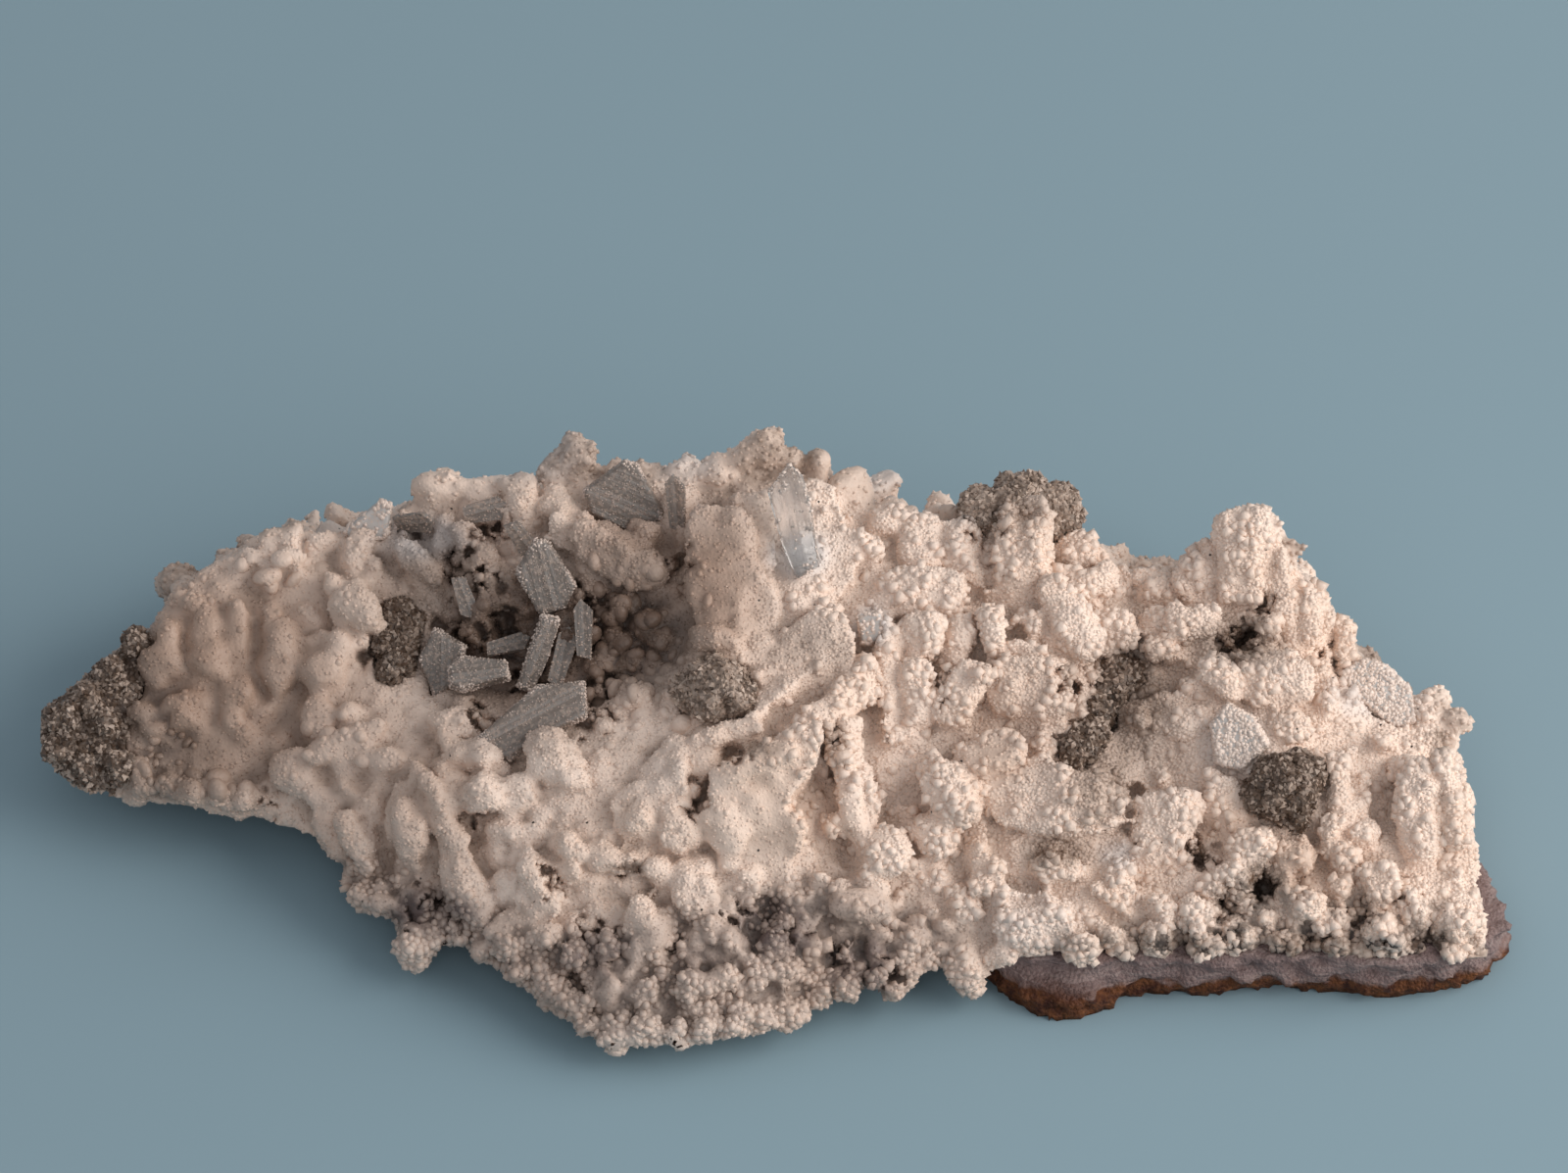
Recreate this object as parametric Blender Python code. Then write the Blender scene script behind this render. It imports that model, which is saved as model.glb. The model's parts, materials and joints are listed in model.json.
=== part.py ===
"""A hand-sized specimen of gypsum: a slab of brown and grey rock, buried under a thick
crust of sugar-coated gypsum blades, with dark sulphide clusters and a few clear
selenite plates standing in it. Run it with blender --background --python part.py.

Places on the crust are given as a person reads them off the specimen from the front,
looking down at 45 degrees: millimetres across (+ to the right) and millimetres up.
A third number, the lift, is how far something stands out of the crust towards the eye.
"""

import math

import bmesh
import bpy
from mathutils import Matrix, Vector

MM = 0.001

# Driving dimensions, in millimetres.
SLAB_HEIGHT = 7.0
SLAB_SEAM = 4.0
GAP = 0.3
SIGHT_ZERO = 14.0
STATION_STEP = 6.0
FRONT_ROWS = 13
BACK_ROWS = 5
NOSE_STEP = 3.0
NOSE_JOIN = -83.4
NOSE_SLANT = 0.22
NOSE_HEART = (4.0, 13.0)
JOIN_OVERLAP = 1.5
PLUG_SHARE = 0.3
CRUST_END = 85.2
CRUST_END_SLANT = -0.12
BULGE_POWER = 0.6
BACK_SWELLING = 0.06
BACK_RISE = 0.35
BEVEL = 0.5
CLEAR_BEVEL = 0.25
ROOT = 3.0
KNOB_LIFT = 0.2
BIG_LUMP = 2.9
SULPHIDE_GAP = 0.42
CUTTER_DROP = 1.0
CRUST_TRIANGLES = 4200

# The line of sight, and the direction called up, square to it.
SIGHT = Vector((0.0, -math.sqrt(0.5), math.sqrt(0.5)))
UP = Vector((0.0, math.sqrt(0.5), math.sqrt(0.5)))
ACROSS = Vector((1.0, 0.0, 0.0))

# Cross-sections of the crust: across, front edge (y, z), crest (y, z), back edge (y, z),
# and how far the front bulges towards the eye.
STATIONS = (
    (-94.5, (1.0, 11.5), (3.0, 14.0), (5.5, 11.0), 0.3),
    (-92.0, (-2.5, 9.5), (3.5, 16.5), (10.0, 8.5), 1.2),
    (-88.0, (-4.2, 8.3), (6.2, 17.6), (14.0, 8.0), 1.8),
    (-84.0, (-5.0, 8.0), (11.0, 20.0), (20.0, 7.5), 2.2),
    (-80.0, (-6.0, 8.0), (14.5, 22.0), (25.5, 7.5), 2.6),
    (-76.0, (-7.0, 8.0), (17.5, 24.5), (30.0, 7.5), 3.0),
    (-70.0, (-8.0, 7.5), (19.5, 26.5), (34.0, 7.5), 3.4),
    (-64.0, (-8.5, 7.5), (21.0, 28.0), (36.5, 7.5), 3.4),
    (-60.0, (-11.5, 7.5), (21.5, 28.0), (37.5, 7.5), 3.2),
    (-56.0, (-16.0, 7.0), (21.5, 28.5), (38.5, 7.5), 3.2),
    (-52.0, (-22.0, 6.5), (21.5, 29.0), (39.0, 7.5), 3.4),
    (-47.0, (-28.5, 5.5), (22.0, 30.0), (40.0, 7.5), 3.4),
    (-42.0, (-29.0, 5.5), (22.5, 31.0), (40.0, 7.5), 3.6),
    (-36.0, (-33.4, 5.4), (23.4, 34.2), (40.5, 7.5), 4.0),
    (-30.0, (-38.8, 4.8), (23.4, 34.8), (40.5, 7.5), 4.2),
    (-24.0, (-43.6, 4.4), (23.8, 35.8), (41.0, 7.5), 4.2),
    (-16.0, (-44.8, 4.4), (23.6, 36.0), (41.5, 7.5), 4.2),
    (-8.0, (-44.6, 4.4), (23.2, 37.4), (41.5, 7.5), 4.4),
    (0.0, (-41.2, 4.4), (22.5, 38.5), (41.0, 7.5), 4.6),
    (6.0, (-36.5, 5.0), (22.0, 35.5), (41.0, 7.5), 4.6),
    (12.0, (-36.5, 5.5), (21.0, 33.0), (40.5, 7.5), 4.4),
    (20.0, (-33.5, 6.0), (20.5, 31.0), (40.0, 7.5), 4.0),
    (26.0, (-32.5, 7.0), (20.0, 32.0), (40.0, 7.5), 3.6),
    (32.0, (-33.0, 7.0), (20.0, 31.5), (40.0, 7.5), 3.4),
    (37.0, (-33.0, 7.0), (19.5, 29.5), (38.5, 7.5), 3.4),
    (42.0, (-31.5, 7.0), (18.5, 25.0), (34.8, 7.5), 3.4),
    (48.0, (-31.0, 7.0), (17.5, 23.4), (32.2, 7.5), 3.4),
    (55.0, (-32.0, 7.0), (17.5, 27.0), (35.0, 7.5), 3.2),
    (60.0, (-30.5, 7.0), (17.5, 28.5), (35.0, 7.5), 3.2),
    (65.0, (-31.0, 7.0), (16.0, 25.0), (31.0, 7.5), 3.0),
    (70.0, (-31.5, 7.0), (12.5, 20.5), (24.0, 7.5), 3.0),
    (75.0, (-33.0, 7.0), (8.0, 17.0), (16.6, 7.5), 2.8),
    (80.0, (-33.5, 7.0), (5.0, 15.5), (12.2, 7.5), 2.6),
    (84.0, (-33.0, 7.0), (1.0, 14.0), (6.8, 7.5), 2.0),
    (88.0, (-31.5, 7.0), (-9.0, 10.5), (-6.0, 7.5), 0.8),
)

# Broad swells of the crust, and hollows where the height is negative:
# across, up, reach across, reach up, height.
SWELLS = (
    (-36.0, 10.0, 10.0, 8.0, -6.5),
    (-21.0, 11.0, 8.0, 7.0, -5.0),
    (-46.5, 11.0, 4.0, 6.0, -3.0),
    (-40.0, -9.0, 9.0, 7.0, 1.8),
    (-20.0, -8.0, 12.0, 7.0, 1.6),
    (-2.0, -6.0, 8.0, 8.0, 2.4),
    (-5.0, 18.0, 7.0, 9.0, 2.2),
    (5.0, -2.0, 1.6, 6.0, -2.6),
    (15.0, -9.0, 3.5, 10.0, -2.4),
    (22.0, -6.0, 5.0, 5.0, 1.6),
    (42.0, 6.0, 5.0, 4.0, -2.6),
    (45.0, -7.0, 4.0, 4.0, -1.6),
    (56.0, -9.0, 5.0, 4.0, -2.4),
    (61.0, 15.0, 4.5, 5.0, -2.6),
    (77.0, -10.0, 2.4, 8.0, -1.8),
    (20.0, -22.0, 8.0, 4.0, -1.6),
)

# Blades and blocks: foot (across, up), tip (across, up), lift at foot and tip, width,
# thickness, turn about its length in degrees, and the shape of its end.
CREST_BLADES = (
    ((-62.2, 23.5), (-62.0, 28.2), 0.0, 0.5, 2.4, 1.6, 20, "point"),
    ((-53.2, 19.0), (-54.3, 27.0), 0.5, 3.4, 4.6, 3.2, 10, "round"),
    ((-48.0, 24.0), (-48.6, 29.2), 0.5, 1.6, 2.2, 1.8, 0, "round"),
    ((-43.2, 16.0), (-47.2, 23.8), 1.0, 3.4, 3.3, 2.2, 25, "round"),
    ((-44.6, 14.8), (-49.2, 20.6), 0.0, 1.4, 2.6, 1.6, -20, "slant"),
    ((-41.8, 18.0), (-43.6, 25.6), 0.0, 2.2, 2.8, 2.4, 0, "round"),
    ((-47.4, 27.2), (-41.4, 32.6), 0.6, 1.2, 4.4, 3.4, 0, "square"),
    ((-38.6, 26.0), (-38.6, 33.4), -0.5, 0.6, 6.0, 3.4, 0, "round"),
    ((-43.4, 31.0), (-43.4, 34.1), -0.5, 0.0, 2.2, 2.0, 0, "round"),
    ((-41.6, 27.6), (-37.3, 19.8), 0.6, 4.0, 4.4, 3.2, -10, "round"),
    ((-33.4, 24.5), (-33.0, 32.2), -0.5, 1.6, 4.2, 3.2, 10, "square"),
    ((-29.2, 24.0), (-28.8, 32.2), 0.0, 1.6, 3.6, 3.2, -10, "square"),
    ((-29.4, 31.0), (-30.2, 34.6), -0.5, 0.0, 3.0, 2.6, 0, "round"),
    ((-27.4, 31.0), (-25.0, 37.7), -0.5, 0.5, 5.0, 4.0, 0, "round"),
    ((-25.4, 24.6), (-25.2, 29.3), 2.4, 4.4, 2.5, 2.4, 0, "round"),
    ((-27.6, 25.4), (-15.6, 19.4), 3.2, 2.8, 5.4, 4.2, 22, "round"),
    ((-19.6, 27.0), (-15.4, 20.8), 0.6, 2.4, 3.6, 2.6, 10, "round"),
    ((-12.8, 24.0), (-13.2, 31.2), 0.5, 2.6, 2.3, 2.2, 0, "square"),
    ((-11.6, 30.5), (-12.6, 36.3), -1.0, 0.4, 3.8, 3.0, 0, "point"),
    ((-8.8, 32.2), (-0.9, 37.6), -1.4, 0.6, 4.2, 3.4, 0, "round"),
    ((3.4, 30.0), (3.4, 36.0), -2.0, -1.0, 4.2, 3.4, 0, "square"),
    ((-8.0, 10.6), (-9.3, 29.9), 1.8, 5.4, 8.2, 4.4, -8, "round"),
    ((-4.4, 11.6), (-5.0, 31.9), 1.6, 5.0, 5.2, 5.0, 14, "round"),
    ((-1.6, 13.0), (-2.4, 31.2), 0.8, 3.8, 3.8, 4.4, 30, "round"),
    ((3.4, 18.0), (5.5, 32.8), 1.6, 2.4, 6.2, 4.2, 12, "slant"),
    ((5.6, 17.6), (10.0, 25.6), 2.0, 2.8, 4.4, 3.2, 0, "square"),
    ((9.2, 23.6), (8.3, 33.1), -1.0, -0.4, 4.2, 3.0, 0, "round"),
    ((12.6, 22.0), (12.4, 30.8), -0.8, 0.2, 4.4, 3.2, 0, "square"),
    ((15.6, 22.6), (15.6, 29.6), -0.8, -0.4, 3.4, 3.0, 0, "round"),
    ((11.0, 18.6), (11.4, 24.4), 0.6, 1.8, 3.4, 2.8, 0, "round"),
)

HOLLOW_BLADES = (
    ((-36.8, 10.2), (-39.6, 15.3), 1.4, 3.4, 2.6, 2.0, 15, "round"),
    ((-41.0, 0.2), (-40.2, 5.8), 1.4, 3.2, 3.6, 3.0, 0, "square"),
    ((-0.6, 7.4), (8.4, 14.6), 0.6, 2.4, 5.6, 2.4, 25, "square"),
    ((0.4, 4.8), (9.6, 12.0), 2.2, 3.6, 3.8, 3.2, 30, "slant"),
    ((2.8, 2.0), (11.8, 8.9), 3.0, 4.0, 3.4, 3.2, 25, "square"),
    ((13.4, 1.6), (13.4, 15.5), 2.0, 4.6, 3.4, 4.2, 12, "slant"),
)

FRONT_BLADES = (
    ((-13.4, -2.6), (-2.8, 2.4), 2.4, 4.6, 3.8, 3.8, -12, "square"),
    ((-26.4, -14.2), (-18.8, -16.2), 1.2, 3.0, 3.0, 3.0, 0, "square"),
    ((9.2, -5.6), (8.2, 2.9), 1.8, 4.2, 4.2, 3.4, 20, "round"),
    ((10.0, -13.0), (8.6, -4.2), 2.6, 4.4, 5.0, 4.2, 12, "round"),
    ((22.0, -23.0), (24.0, -31.8), 0.2, 1.4, 4.8, 3.0, 0, "point"),
    ((17.0, -27.8), (12.6, -33.2), 0.2, 0.8, 3.0, 2.2, 0, "point"),
)

RIGHT_BLADES = (
    ((17.6, 19.6), (17.4, 27.6), 0.6, 2.8, 5.6, 3.6, 0, "point"),
    ((22.2, 19.4), (22.8, 27.6), 0.0, 2.0, 5.0, 4.0, 8, "round"),
    ((20.6, 25.0), (21.0, 29.3), -2.0, -1.6, 3.8, 3.0, 0, "round"),
    ((29.4, 15.8), (30.6, 31.0), 1.0, 3.4, 7.2, 3.8, -8, "round"),
    ((32.4, 16.6), (33.4, 27.6), 1.8, 3.2, 3.8, 3.4, 20, "round"),
    ((26.2, 16.4), (27.0, 25.2), 0.6, 1.8, 3.6, 3.0, -20, "slant"),
    ((37.6, 18.8), (39.2, 26.4), -0.2, 1.4, 5.6, 3.6, 0, "slant"),
    ((43.0, 17.4), (43.2, 22.8), -0.4, 1.0, 3.4, 2.8, 0, "point"),
    ((48.0, 15.0), (48.0, 20.9), -0.2, 1.6, 4.8, 3.2, 0, "square"),
    ((52.0, 17.0), (52.0, 22.8), -0.4, 0.8, 3.6, 2.8, 0, "round"),
    ((16.6, 2.4), (17.0, 14.8), 2.0, 3.8, 4.2, 4.4, 12, "square"),
    ((20.6, 8.4), (21.6, 14.4), 1.4, 2.8, 3.0, 2.8, 0, "round"),
    ((21.4, 1.6), (22.6, 9.2), 1.8, 4.0, 5.6, 4.0, -12, "square"),
    ((26.8, 10.6), (25.9, 16.4), 2.0, 4.2, 3.2, 2.8, 0, "round"),
    ((59.4, 16.0), (59.4, 29.4), 0.6, 2.8, 7.4, 4.6, 0, "round"),
    ((55.4, 16.0), (55.6, 25.4), 0.4, 1.8, 5.4, 3.8, 12, "slant"),
    ((65.4, 12.2), (63.8, 25.3), 1.4, 2.2, 3.8, 4.0, 13, "round"),
    ((68.4, 9.8), (67.6, 19.4), 1.0, 1.6, 3.0, 3.0, 15, "round"),
    ((71.6, 7.6), (71.2, 15.4), 1.2, 2.2, 3.4, 3.0, 15, "round"),
    ((82.0, -0.4), (81.4, 5.8), 0.4, 1.4, 4.2, 3.2, 0, "round"),
    ((84.2, -1.0), (85.4, 3.2), 0.2, 0.8, 3.4, 3.0, 0, "round"),
    ((71.0, -5.6), (71.8, -0.8), 1.0, 2.6, 2.8, 2.6, 0, "round"),
)

# Slabs and flat faces: outline, lift of the middle, lean up and lean across (the rise
# towards the eye for each millimetre), thickness.
SLABS = (
    (((-40.6, -9.4), (-40.4, -6.0), (-37.4, -4.4), (-34.4, -5.4), (-31.0, -6.0), (-31.4, -9.4),
      (-36.0, -10.3)), 2.6, 0.1, -0.1, 5.0),
    (((-10.2, -3.8), (-3.2, -1.6), (0.0, 1.0), (4.6, 1.7), (3.4, -5.0), (0.6, -8.8), (-4.0, -10.2),
      (-9.2, -10.6)), 3.6, -0.1, 0.05, 6.0),
    (((-9.6, -10.0), (0.6, -8.4), (2.6, -12.0), (1.6, -17.4), (-6.4, -18.6), (-9.2, -14.0)),
     2.2, 0.25, 0.0, 6.0),
    (((-12.4, -1.8), (-11.8, -7.0), (-14.4, -8.4), (-20.6, -8.6)), 3.0, 0.15, 0.15, 5.0),
    (((-20.4, -8.8), (-14.2, -8.0), (-10.6, -12.0), (-12.0, -15.0), (-18.6, -14.0)), 1.6, 0.2, 0.05, 5.0),
    (((12.0, 15.6), (13.0, 20.3), (19.6, 20.9), (21.8, 16.2), (20.2, 14.4), (15.0, 14.6)),
     2.6, -0.1, 0.0, 4.5),
    (((27.6, 14.0), (29.4, 16.4), (36.0, 17.7), (38.9, 15.8), (36.3, 12.8), (36.9, 9.4), (34.4, 10.2),
      (30.4, 12.8)), 2.4, 0.05, 0.0, 4.5),
    (((33.0, 17.4), (35.4, 20.3), (38.0, 20.6), (39.7, 19.0), (38.6, 15.4), (36.0, 16.4)),
     1.6, 0.0, 0.1, 4.0),
    (((36.4, 13.0), (39.4, 14.8), (44.4, 15.4), (45.9, 13.2), (43.0, 10.2), (40.0, 10.2), (37.4, 11.0)),
     2.6, 0.0, -0.05, 4.0),
    (((25.0, 10.4), (29.0, 12.5), (32.6, 11.5), (35.8, 9.0), (35.4, 4.4), (36.0, 1.0), (30.4, -1.6),
      (25.0, 0.0)), 1.6, -0.05, 0.05, 5.0),
    (((46.4, 15.4), (50.0, 16.6), (55.0, 15.2), (57.0, 11.6), (56.0, 9.4), (52.0, 8.4), (48.2, 9.4)),
     1.4, -0.1, 0.0, 4.5),
    (((50.0, 7.4), (56.4, 8.2), (58.7, 4.8), (55.0, 3.6), (49.6, 4.2)), 1.8, 0.0, 0.0, 4.0),
    (((57.4, 10.2), (64.6, 10.7), (66.2, 7.0), (65.6, 3.4), (59.6, 3.4), (58.2, 6.0)),
     1.4, -0.1, 0.05, 4.5),
    (((41.6, 2.4), (44.4, 4.9), (48.0, 6.1), (52.2, 5.0), (53.6, 1.0), (50.0, -2.6), (44.0, -3.2),
      (40.6, -1.0)), 1.8, -0.1, 0.0, 5.0),
    (((25.4, -5.4), (31.0, -5.0), (39.9, -4.5), (43.6, -8.3), (41.5, -12.2), (36.0, -13.2),
      (28.0, -10.6)), 2.4, -0.15, 0.05, 5.0),
    (((45.4, -8.2), (50.0, -6.4), (53.6, -8.6), (51.6, -12.4), (51.0, -17.2), (46.0, -18.2),
      (43.4, -13.2)), 1.4, 0.0, -0.05, 5.0),
    (((52.4, -15.4), (58.0, -13.0), (66.0, -12.2), (68.2, -14.6), (62.0, -16.8), (54.0, -18.6)),
     1.0, 0.1, 0.0, 4.5),
    (((79.6, -3.4), (84.0, -4.2), (85.4, -10.0), (86.0, -17.0), (87.0, -22.8), (83.0, -24.0),
      (79.2, -18.0), (78.6, -9.0)), 1.6, 0.0, -0.2, 6.0),
    (((26.4, -18.8), (33.0, -19.4), (37.8, -22.0), (36.6, -26.4), (30.0, -27.4), (25.6, -24.8)),
     1.0, 0.15, 0.0, 4.5),
)

# Rounded lumps and ridges: from (across, up) to (across, up), radius, lift.
LUMPS = (
    (-80.4, 9.0, -80.0, 7.6, 2.0, 0.0),
    (-78.4, 13.4, -77.8, 9.6, 1.8, 0.2),
    (-82.0, 3.6, -81.0, 2.6, 2.0, 0.0),
    (-82.6, -4.0, -81.4, -4.6, 2.0, 0.0),
    (-76.6, 2.6, -74.8, 1.8, 2.3, 0.0),
    (-76.4, 17.2, -74.0, 16.0, 1.8, 0.0),
    (-74.6, 13.2, -71.6, 8.0, 2.2, 0.2),
    (-70.2, 15.6, -69.0, 10.0, 2.0, 0.0),
    (-64.4, 13.4, -63.9, 7.0, 2.3, 0.4),
    (-65.5, 16.4, -65.1, 14.0, 1.3, 0.8),
    (-66.0, 20.2, -65.2, 20.0, 1.8, 0.6),
    (-63.8, 21.8, -61.8, 22.4, 1.2, 1.0),
    (-68.6, 22.6, -67.0, 22.8, 1.6, 0.2),
    (-65.4, 25.0, -63.4, 24.6, 1.7, 0.0),
    (-59.6, 24.0, -57.6, 24.6, 1.7, 0.0),
    (-70.2, 5.4, -70.0, 1.6, 1.6, 0.2),
    (-58.8, 12.2, -58.2, 11.8, 1.7, 1.0),
    (-56.2, 12.4, -54.8, 11.2, 1.6, 1.0),
    (-58.6, 8.4, -58.2, 8.0, 3.2, 0.6),
    (-59.6, 3.4, -59.0, 1.0, 2.6, 0.2),
    (-55.1, 3.2, -54.8, 2.4, 1.4, 0.8),
    (-63.8, -4.8, -61.0, -4.0, 2.3, 0.6),
    (-60.0, -4.0, -50.4, 0.4, 2.0, 0.6),
    (-59.6, -7.0, -52.0, -7.2, 2.3, 0.0),
    (-58.4, -10.4, -56.4, -14.0, 2.1, 0.2),
    (-57.2, 19.5, -57.0, 19.3, 1.6, 1.6),
    (-55.0, 16.4, -52.6, 14.6, 3.0, 1.4),
    (-76.0, -6.6, -74.0, -7.2, 2.1, 0.0),
    (-71.4, -5.6, -70.6, -7.6, 1.9, 0.2),
    (-67.2, -7.4, -66.0, -8.0, 1.9, 0.0),
    (-35.5, 28.8, -35.2, 28.6, 1.8, 0.4),
    (-39.0, 17.6, -37.6, 17.4, 2.5, 1.0),
    (-34.4, 17.4, -33.2, 16.8, 2.4, 0.6),
    (-26.8, 14.2, -26.6, 13.4, 2.0, 2.4),
    (-23.6, 13.6, -23.2, 13.2, 1.8, 1.2),
    (-20.6, 16.6, -20.2, 16.2, 1.7, 1.2),
    (-17.8, 13.6, -17.2, 13.4, 1.7, 0.6),
    (-15.4, 12.4, -15.2, 12.2, 1.9, 0.6),
    (-19.4, 10.8, -18.8, 10.6, 1.7, 0.2),
    (-22.0, 9.6, -21.6, 9.4, 1.6, 0.2),
    (-16.4, 8.8, -16.2, 8.6, 1.7, 0.4),
    (-24.4, 8.4, -24.2, 8.0, 1.6, 0.8),
    (-19.0, 5.6, -17.8, 4.6, 2.4, 0.6),
    (-10.5, 12.6, -10.4, 12.4, 1.9, 2.4),
    (-8.5, 12.4, -7.4, 12.2, 1.8, 2.6),
    (-17.4, 25.0, -17.2, 24.8, 1.8, 1.0),
    (-35.6, 31.2, -34.0, 31.4, 2.0, -0.8),
    (-22.0, 32.8, -20.6, 33.2, 2.0, -1.0),
    (-17.8, 31.8, -16.2, 32.2, 2.2, -1.0),
    (-9.2, 33.6, -8.0, 33.8, 2.2, -1.2),
    (-3.4, 34.4, 1.4, 34.6, 2.7, -2.4),
    (-54.0, -10.2, -52.8, -14.8, 2.4, 1.4),
    (-47.0, -8.0, -47.2, -13.8, 3.0, 0.8),
    (-46.6, -4.0, -43.2, -10.2, 1.8, 2.6),
    (-43.2, -10.0, -40.6, -15.0, 2.2, 2.2),
    (-41.4, -15.0, -39.4, -20.0, 2.4, 1.4),
    (-43.7, 1.8, -41.2, -2.4, 1.9, 2.4),
    (-43.2, -4.0, -41.2, -8.8, 1.5, 2.6),
    (-38.6, -2.4, -37.4, -2.6, 2.7, 1.8),
    (-29.8, -1.8, -29.0, -2.4, 3.2, 1.6),
    (-27.8, -4.0, -27.0, -4.6, 2.4, 1.4),
    (-37.4, -11.2, -35.4, -11.5, 1.3, 1.6),
    (-33.4, -12.3, -32.6, -12.6, 1.4, 1.4),
    (-28.4, -12.6, -26.0, -17.4, 1.6, 1.4),
    (-31.6, -16.0, -30.0, -19.4, 2.5, 1.0),
    (-33.6, -20.2, -31.0, -21.6, 1.7, 1.2),
    (-29.4, -21.2, -29.2, -21.4, 1.5, 1.4),
    (-35.0, -25.2, -33.6, -25.8, 2.6, 0.2),
    (-30.8, -24.8, -30.0, -25.2, 2.5, 0.4),
    (-18.6, -10.6, -17.4, -11.0, 2.3, 1.6),
    (-13.2, -9.8, -12.8, -10.4, 2.4, 0.8),
    (-16.0, -16.8, -15.8, -17.4, 1.9, 1.2),
    (-12.2, -18.4, -11.8, -19.4, 3.1, 0.0),
    (-18.2, -22.0, -17.6, -26.0, 2.9, 0.0),
    (-9.2, -24.0, -8.4, -25.0, 2.3, 0.0),
    (-6.0, -26.0, -5.8, -26.4, 1.6, 1.0),
    (12.6, -15.0, 12.4, -15.4, 3.0, 2.6),
    (6.0, -11.0, 6.0, -11.4, 1.5, 1.0),
    (8.6, -20.6, 10.6, -22.0, 3.5, 0.0),
    (4.2, -18.2, 4.8, -18.8, 2.1, 0.6),
    (20.2, -5.6, 22.0, -8.2, 3.6, 0.8),
    (20.2, -10.6, 19.0, -14.4, 2.4, 1.0),
    (26.6, -2.4, 27.6, -3.4, 2.8, 0.6),
    (24.6, -14.4, 25.4, -16.4, 2.6, 0.2),
    (22.2, -20.6, 23.0, -22.0, 2.5, 0.2),
    (17.2, -20.4, 17.6, -21.8, 2.2, 0.2),
    (62.6, 2.4, 64.2, 0.8, 2.4, 0.2),
    (68.0, 6.4, 68.4, 2.6, 2.0, 0.2),
    (61.6, 14.2, 61.4, 13.6, 1.4, 2.4),
    (72.4, -8.2, 71.6, -9.4, 2.5, 0.0),
    (73.4, -12.2, 72.6, -13.0, 2.4, 0.2),
    (69.8, -14.6, 70.8, -16.2, 2.5, 0.0),
    (74.6, -17.6, 75.6, -19.4, 2.8, 0.2),
    (33.0, -16.8, 36.0, -17.2, 2.6, 0.0),
    (41.6, -18.6, 42.4, -20.4, 3.0, 0.0),
    (46.6, -21.4, 48.0, -22.4, 2.7, 0.0),
    (51.8, -22.0, 52.6, -23.0, 2.4, 0.2),
    (57.0, -24.2, 58.2, -24.8, 1.9, 0.2),
    (64.0, -20.4, 65.4, -21.4, 2.9, 0.0),
    (68.2, -23.2, 69.4, -23.8, 2.3, 0.2),
    (79.4, -20.8, 79.8, -22.6, 2.3, 0.2),
    (84.0, -23.4, 85.0, -24.4, 2.8, 0.0),
    (27.0, -27.0, 28.4, -27.2, 1.8, 0.0),
    (37.4, -26.4, 38.4, -26.6, 1.9, 0.2),
    (42.0, -26.2, 43.0, -27.0, 1.6, 0.4),
    (47.0, -26.0, 48.0, -26.4, 1.5, 0.4),
    (52.4, -26.2, 53.2, -26.8, 1.5, 0.4),
    (62.4, -25.4, 64.0, -25.8, 1.5, 0.4),
    (69.2, -25.8, 70.2, -26.4, 1.5, 0.4),
    (75.6, -25.6, 76.6, -26.6, 1.6, 0.4),
)

# Knobbly balls along the shaded lower front: across, up, radius.
FRINGE = (
    (-54.6, -17.6, 2.0), (-52.6, -20.2, 2.2), (-49.8, -21.2, 2.2), (-46.4, -25.8, 2.6),
    (-43.4, -25.2, 2.1), (-45.6, -20.6, 2.0), (-40.6, -24.2, 1.9), (-38.2, -26.6, 1.9),
    (-33.2, -29.2, 2.1), (-30.0, -31.2, 2.1), (-26.8, -33.8, 2.2), (-24.8, -36.4, 2.0),
    (-21.2, -37.0, 2.2), (-17.2, -36.8, 2.2), (-13.8, -37.2, 2.1), (-10.0, -36.8, 2.2),
    (-6.4, -36.0, 2.0), (-2.6, -34.8, 2.1), (1.0, -34.4, 2.1), (4.4, -32.2, 2.0),
    (8.0, -31.2, 2.0), (11.4, -30.4, 1.9), (-26.2, -27.6, 2.0), (-22.4, -31.4, 2.0),
    (-17.4, -31.6, 2.2), (-12.2, -31.6, 2.6), (-7.6, -29.8, 2.1), (-3.4, -30.2, 2.0),
    (0.6, -29.8, 2.0), (-1.8, -25.8, 2.2), (3.6, -26.6, 2.3), (7.6, -26.8, 2.0),
    (11.4, -26.0, 1.9), (15.6, -25.4, 1.8), (-22.4, -25.6, 1.9),
)

# Dark pits and clefts: across, up, radius, depth of the middle below the crust.
PITS = (
    (-42.2, 21.4, 1.3, 0.6), (-38.8, 18.9, 1.2, 0.8), (-36.6, 26.4, 1.9, 0.8), (-23.6, 4.6, 1.6, 0.6),
    (-27.0, 10.8, 1.4, 0.4), (-38.4, 1.6, 1.4, 0.4), (-4.6, -1.8, 1.5, 0.4), (-11.2, -8.6, 1.3, 0.2),
    (58.6, 12.4, 2.4, 1.0), (60.4, 17.0, 1.5, 0.6), (60.2, -18.9, 1.9, 0.4), (52.6, -15.6, 1.5, 0.2),
    (44.2, -7.0, 1.7, 0.6), (15.8, -17.0, 1.9, 0.4), (81.0, -26.0, 1.8, 0.4), (72.8, -23.4, 1.5, 0.4),
    (56.2, -21.6, 1.6, 0.4), (-44.0, -21.6, 1.7, 0.6), (-23.0, -28.6, 1.5, 0.4), (-2.0, -21.4, 2.0, 0.6),
)

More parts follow.
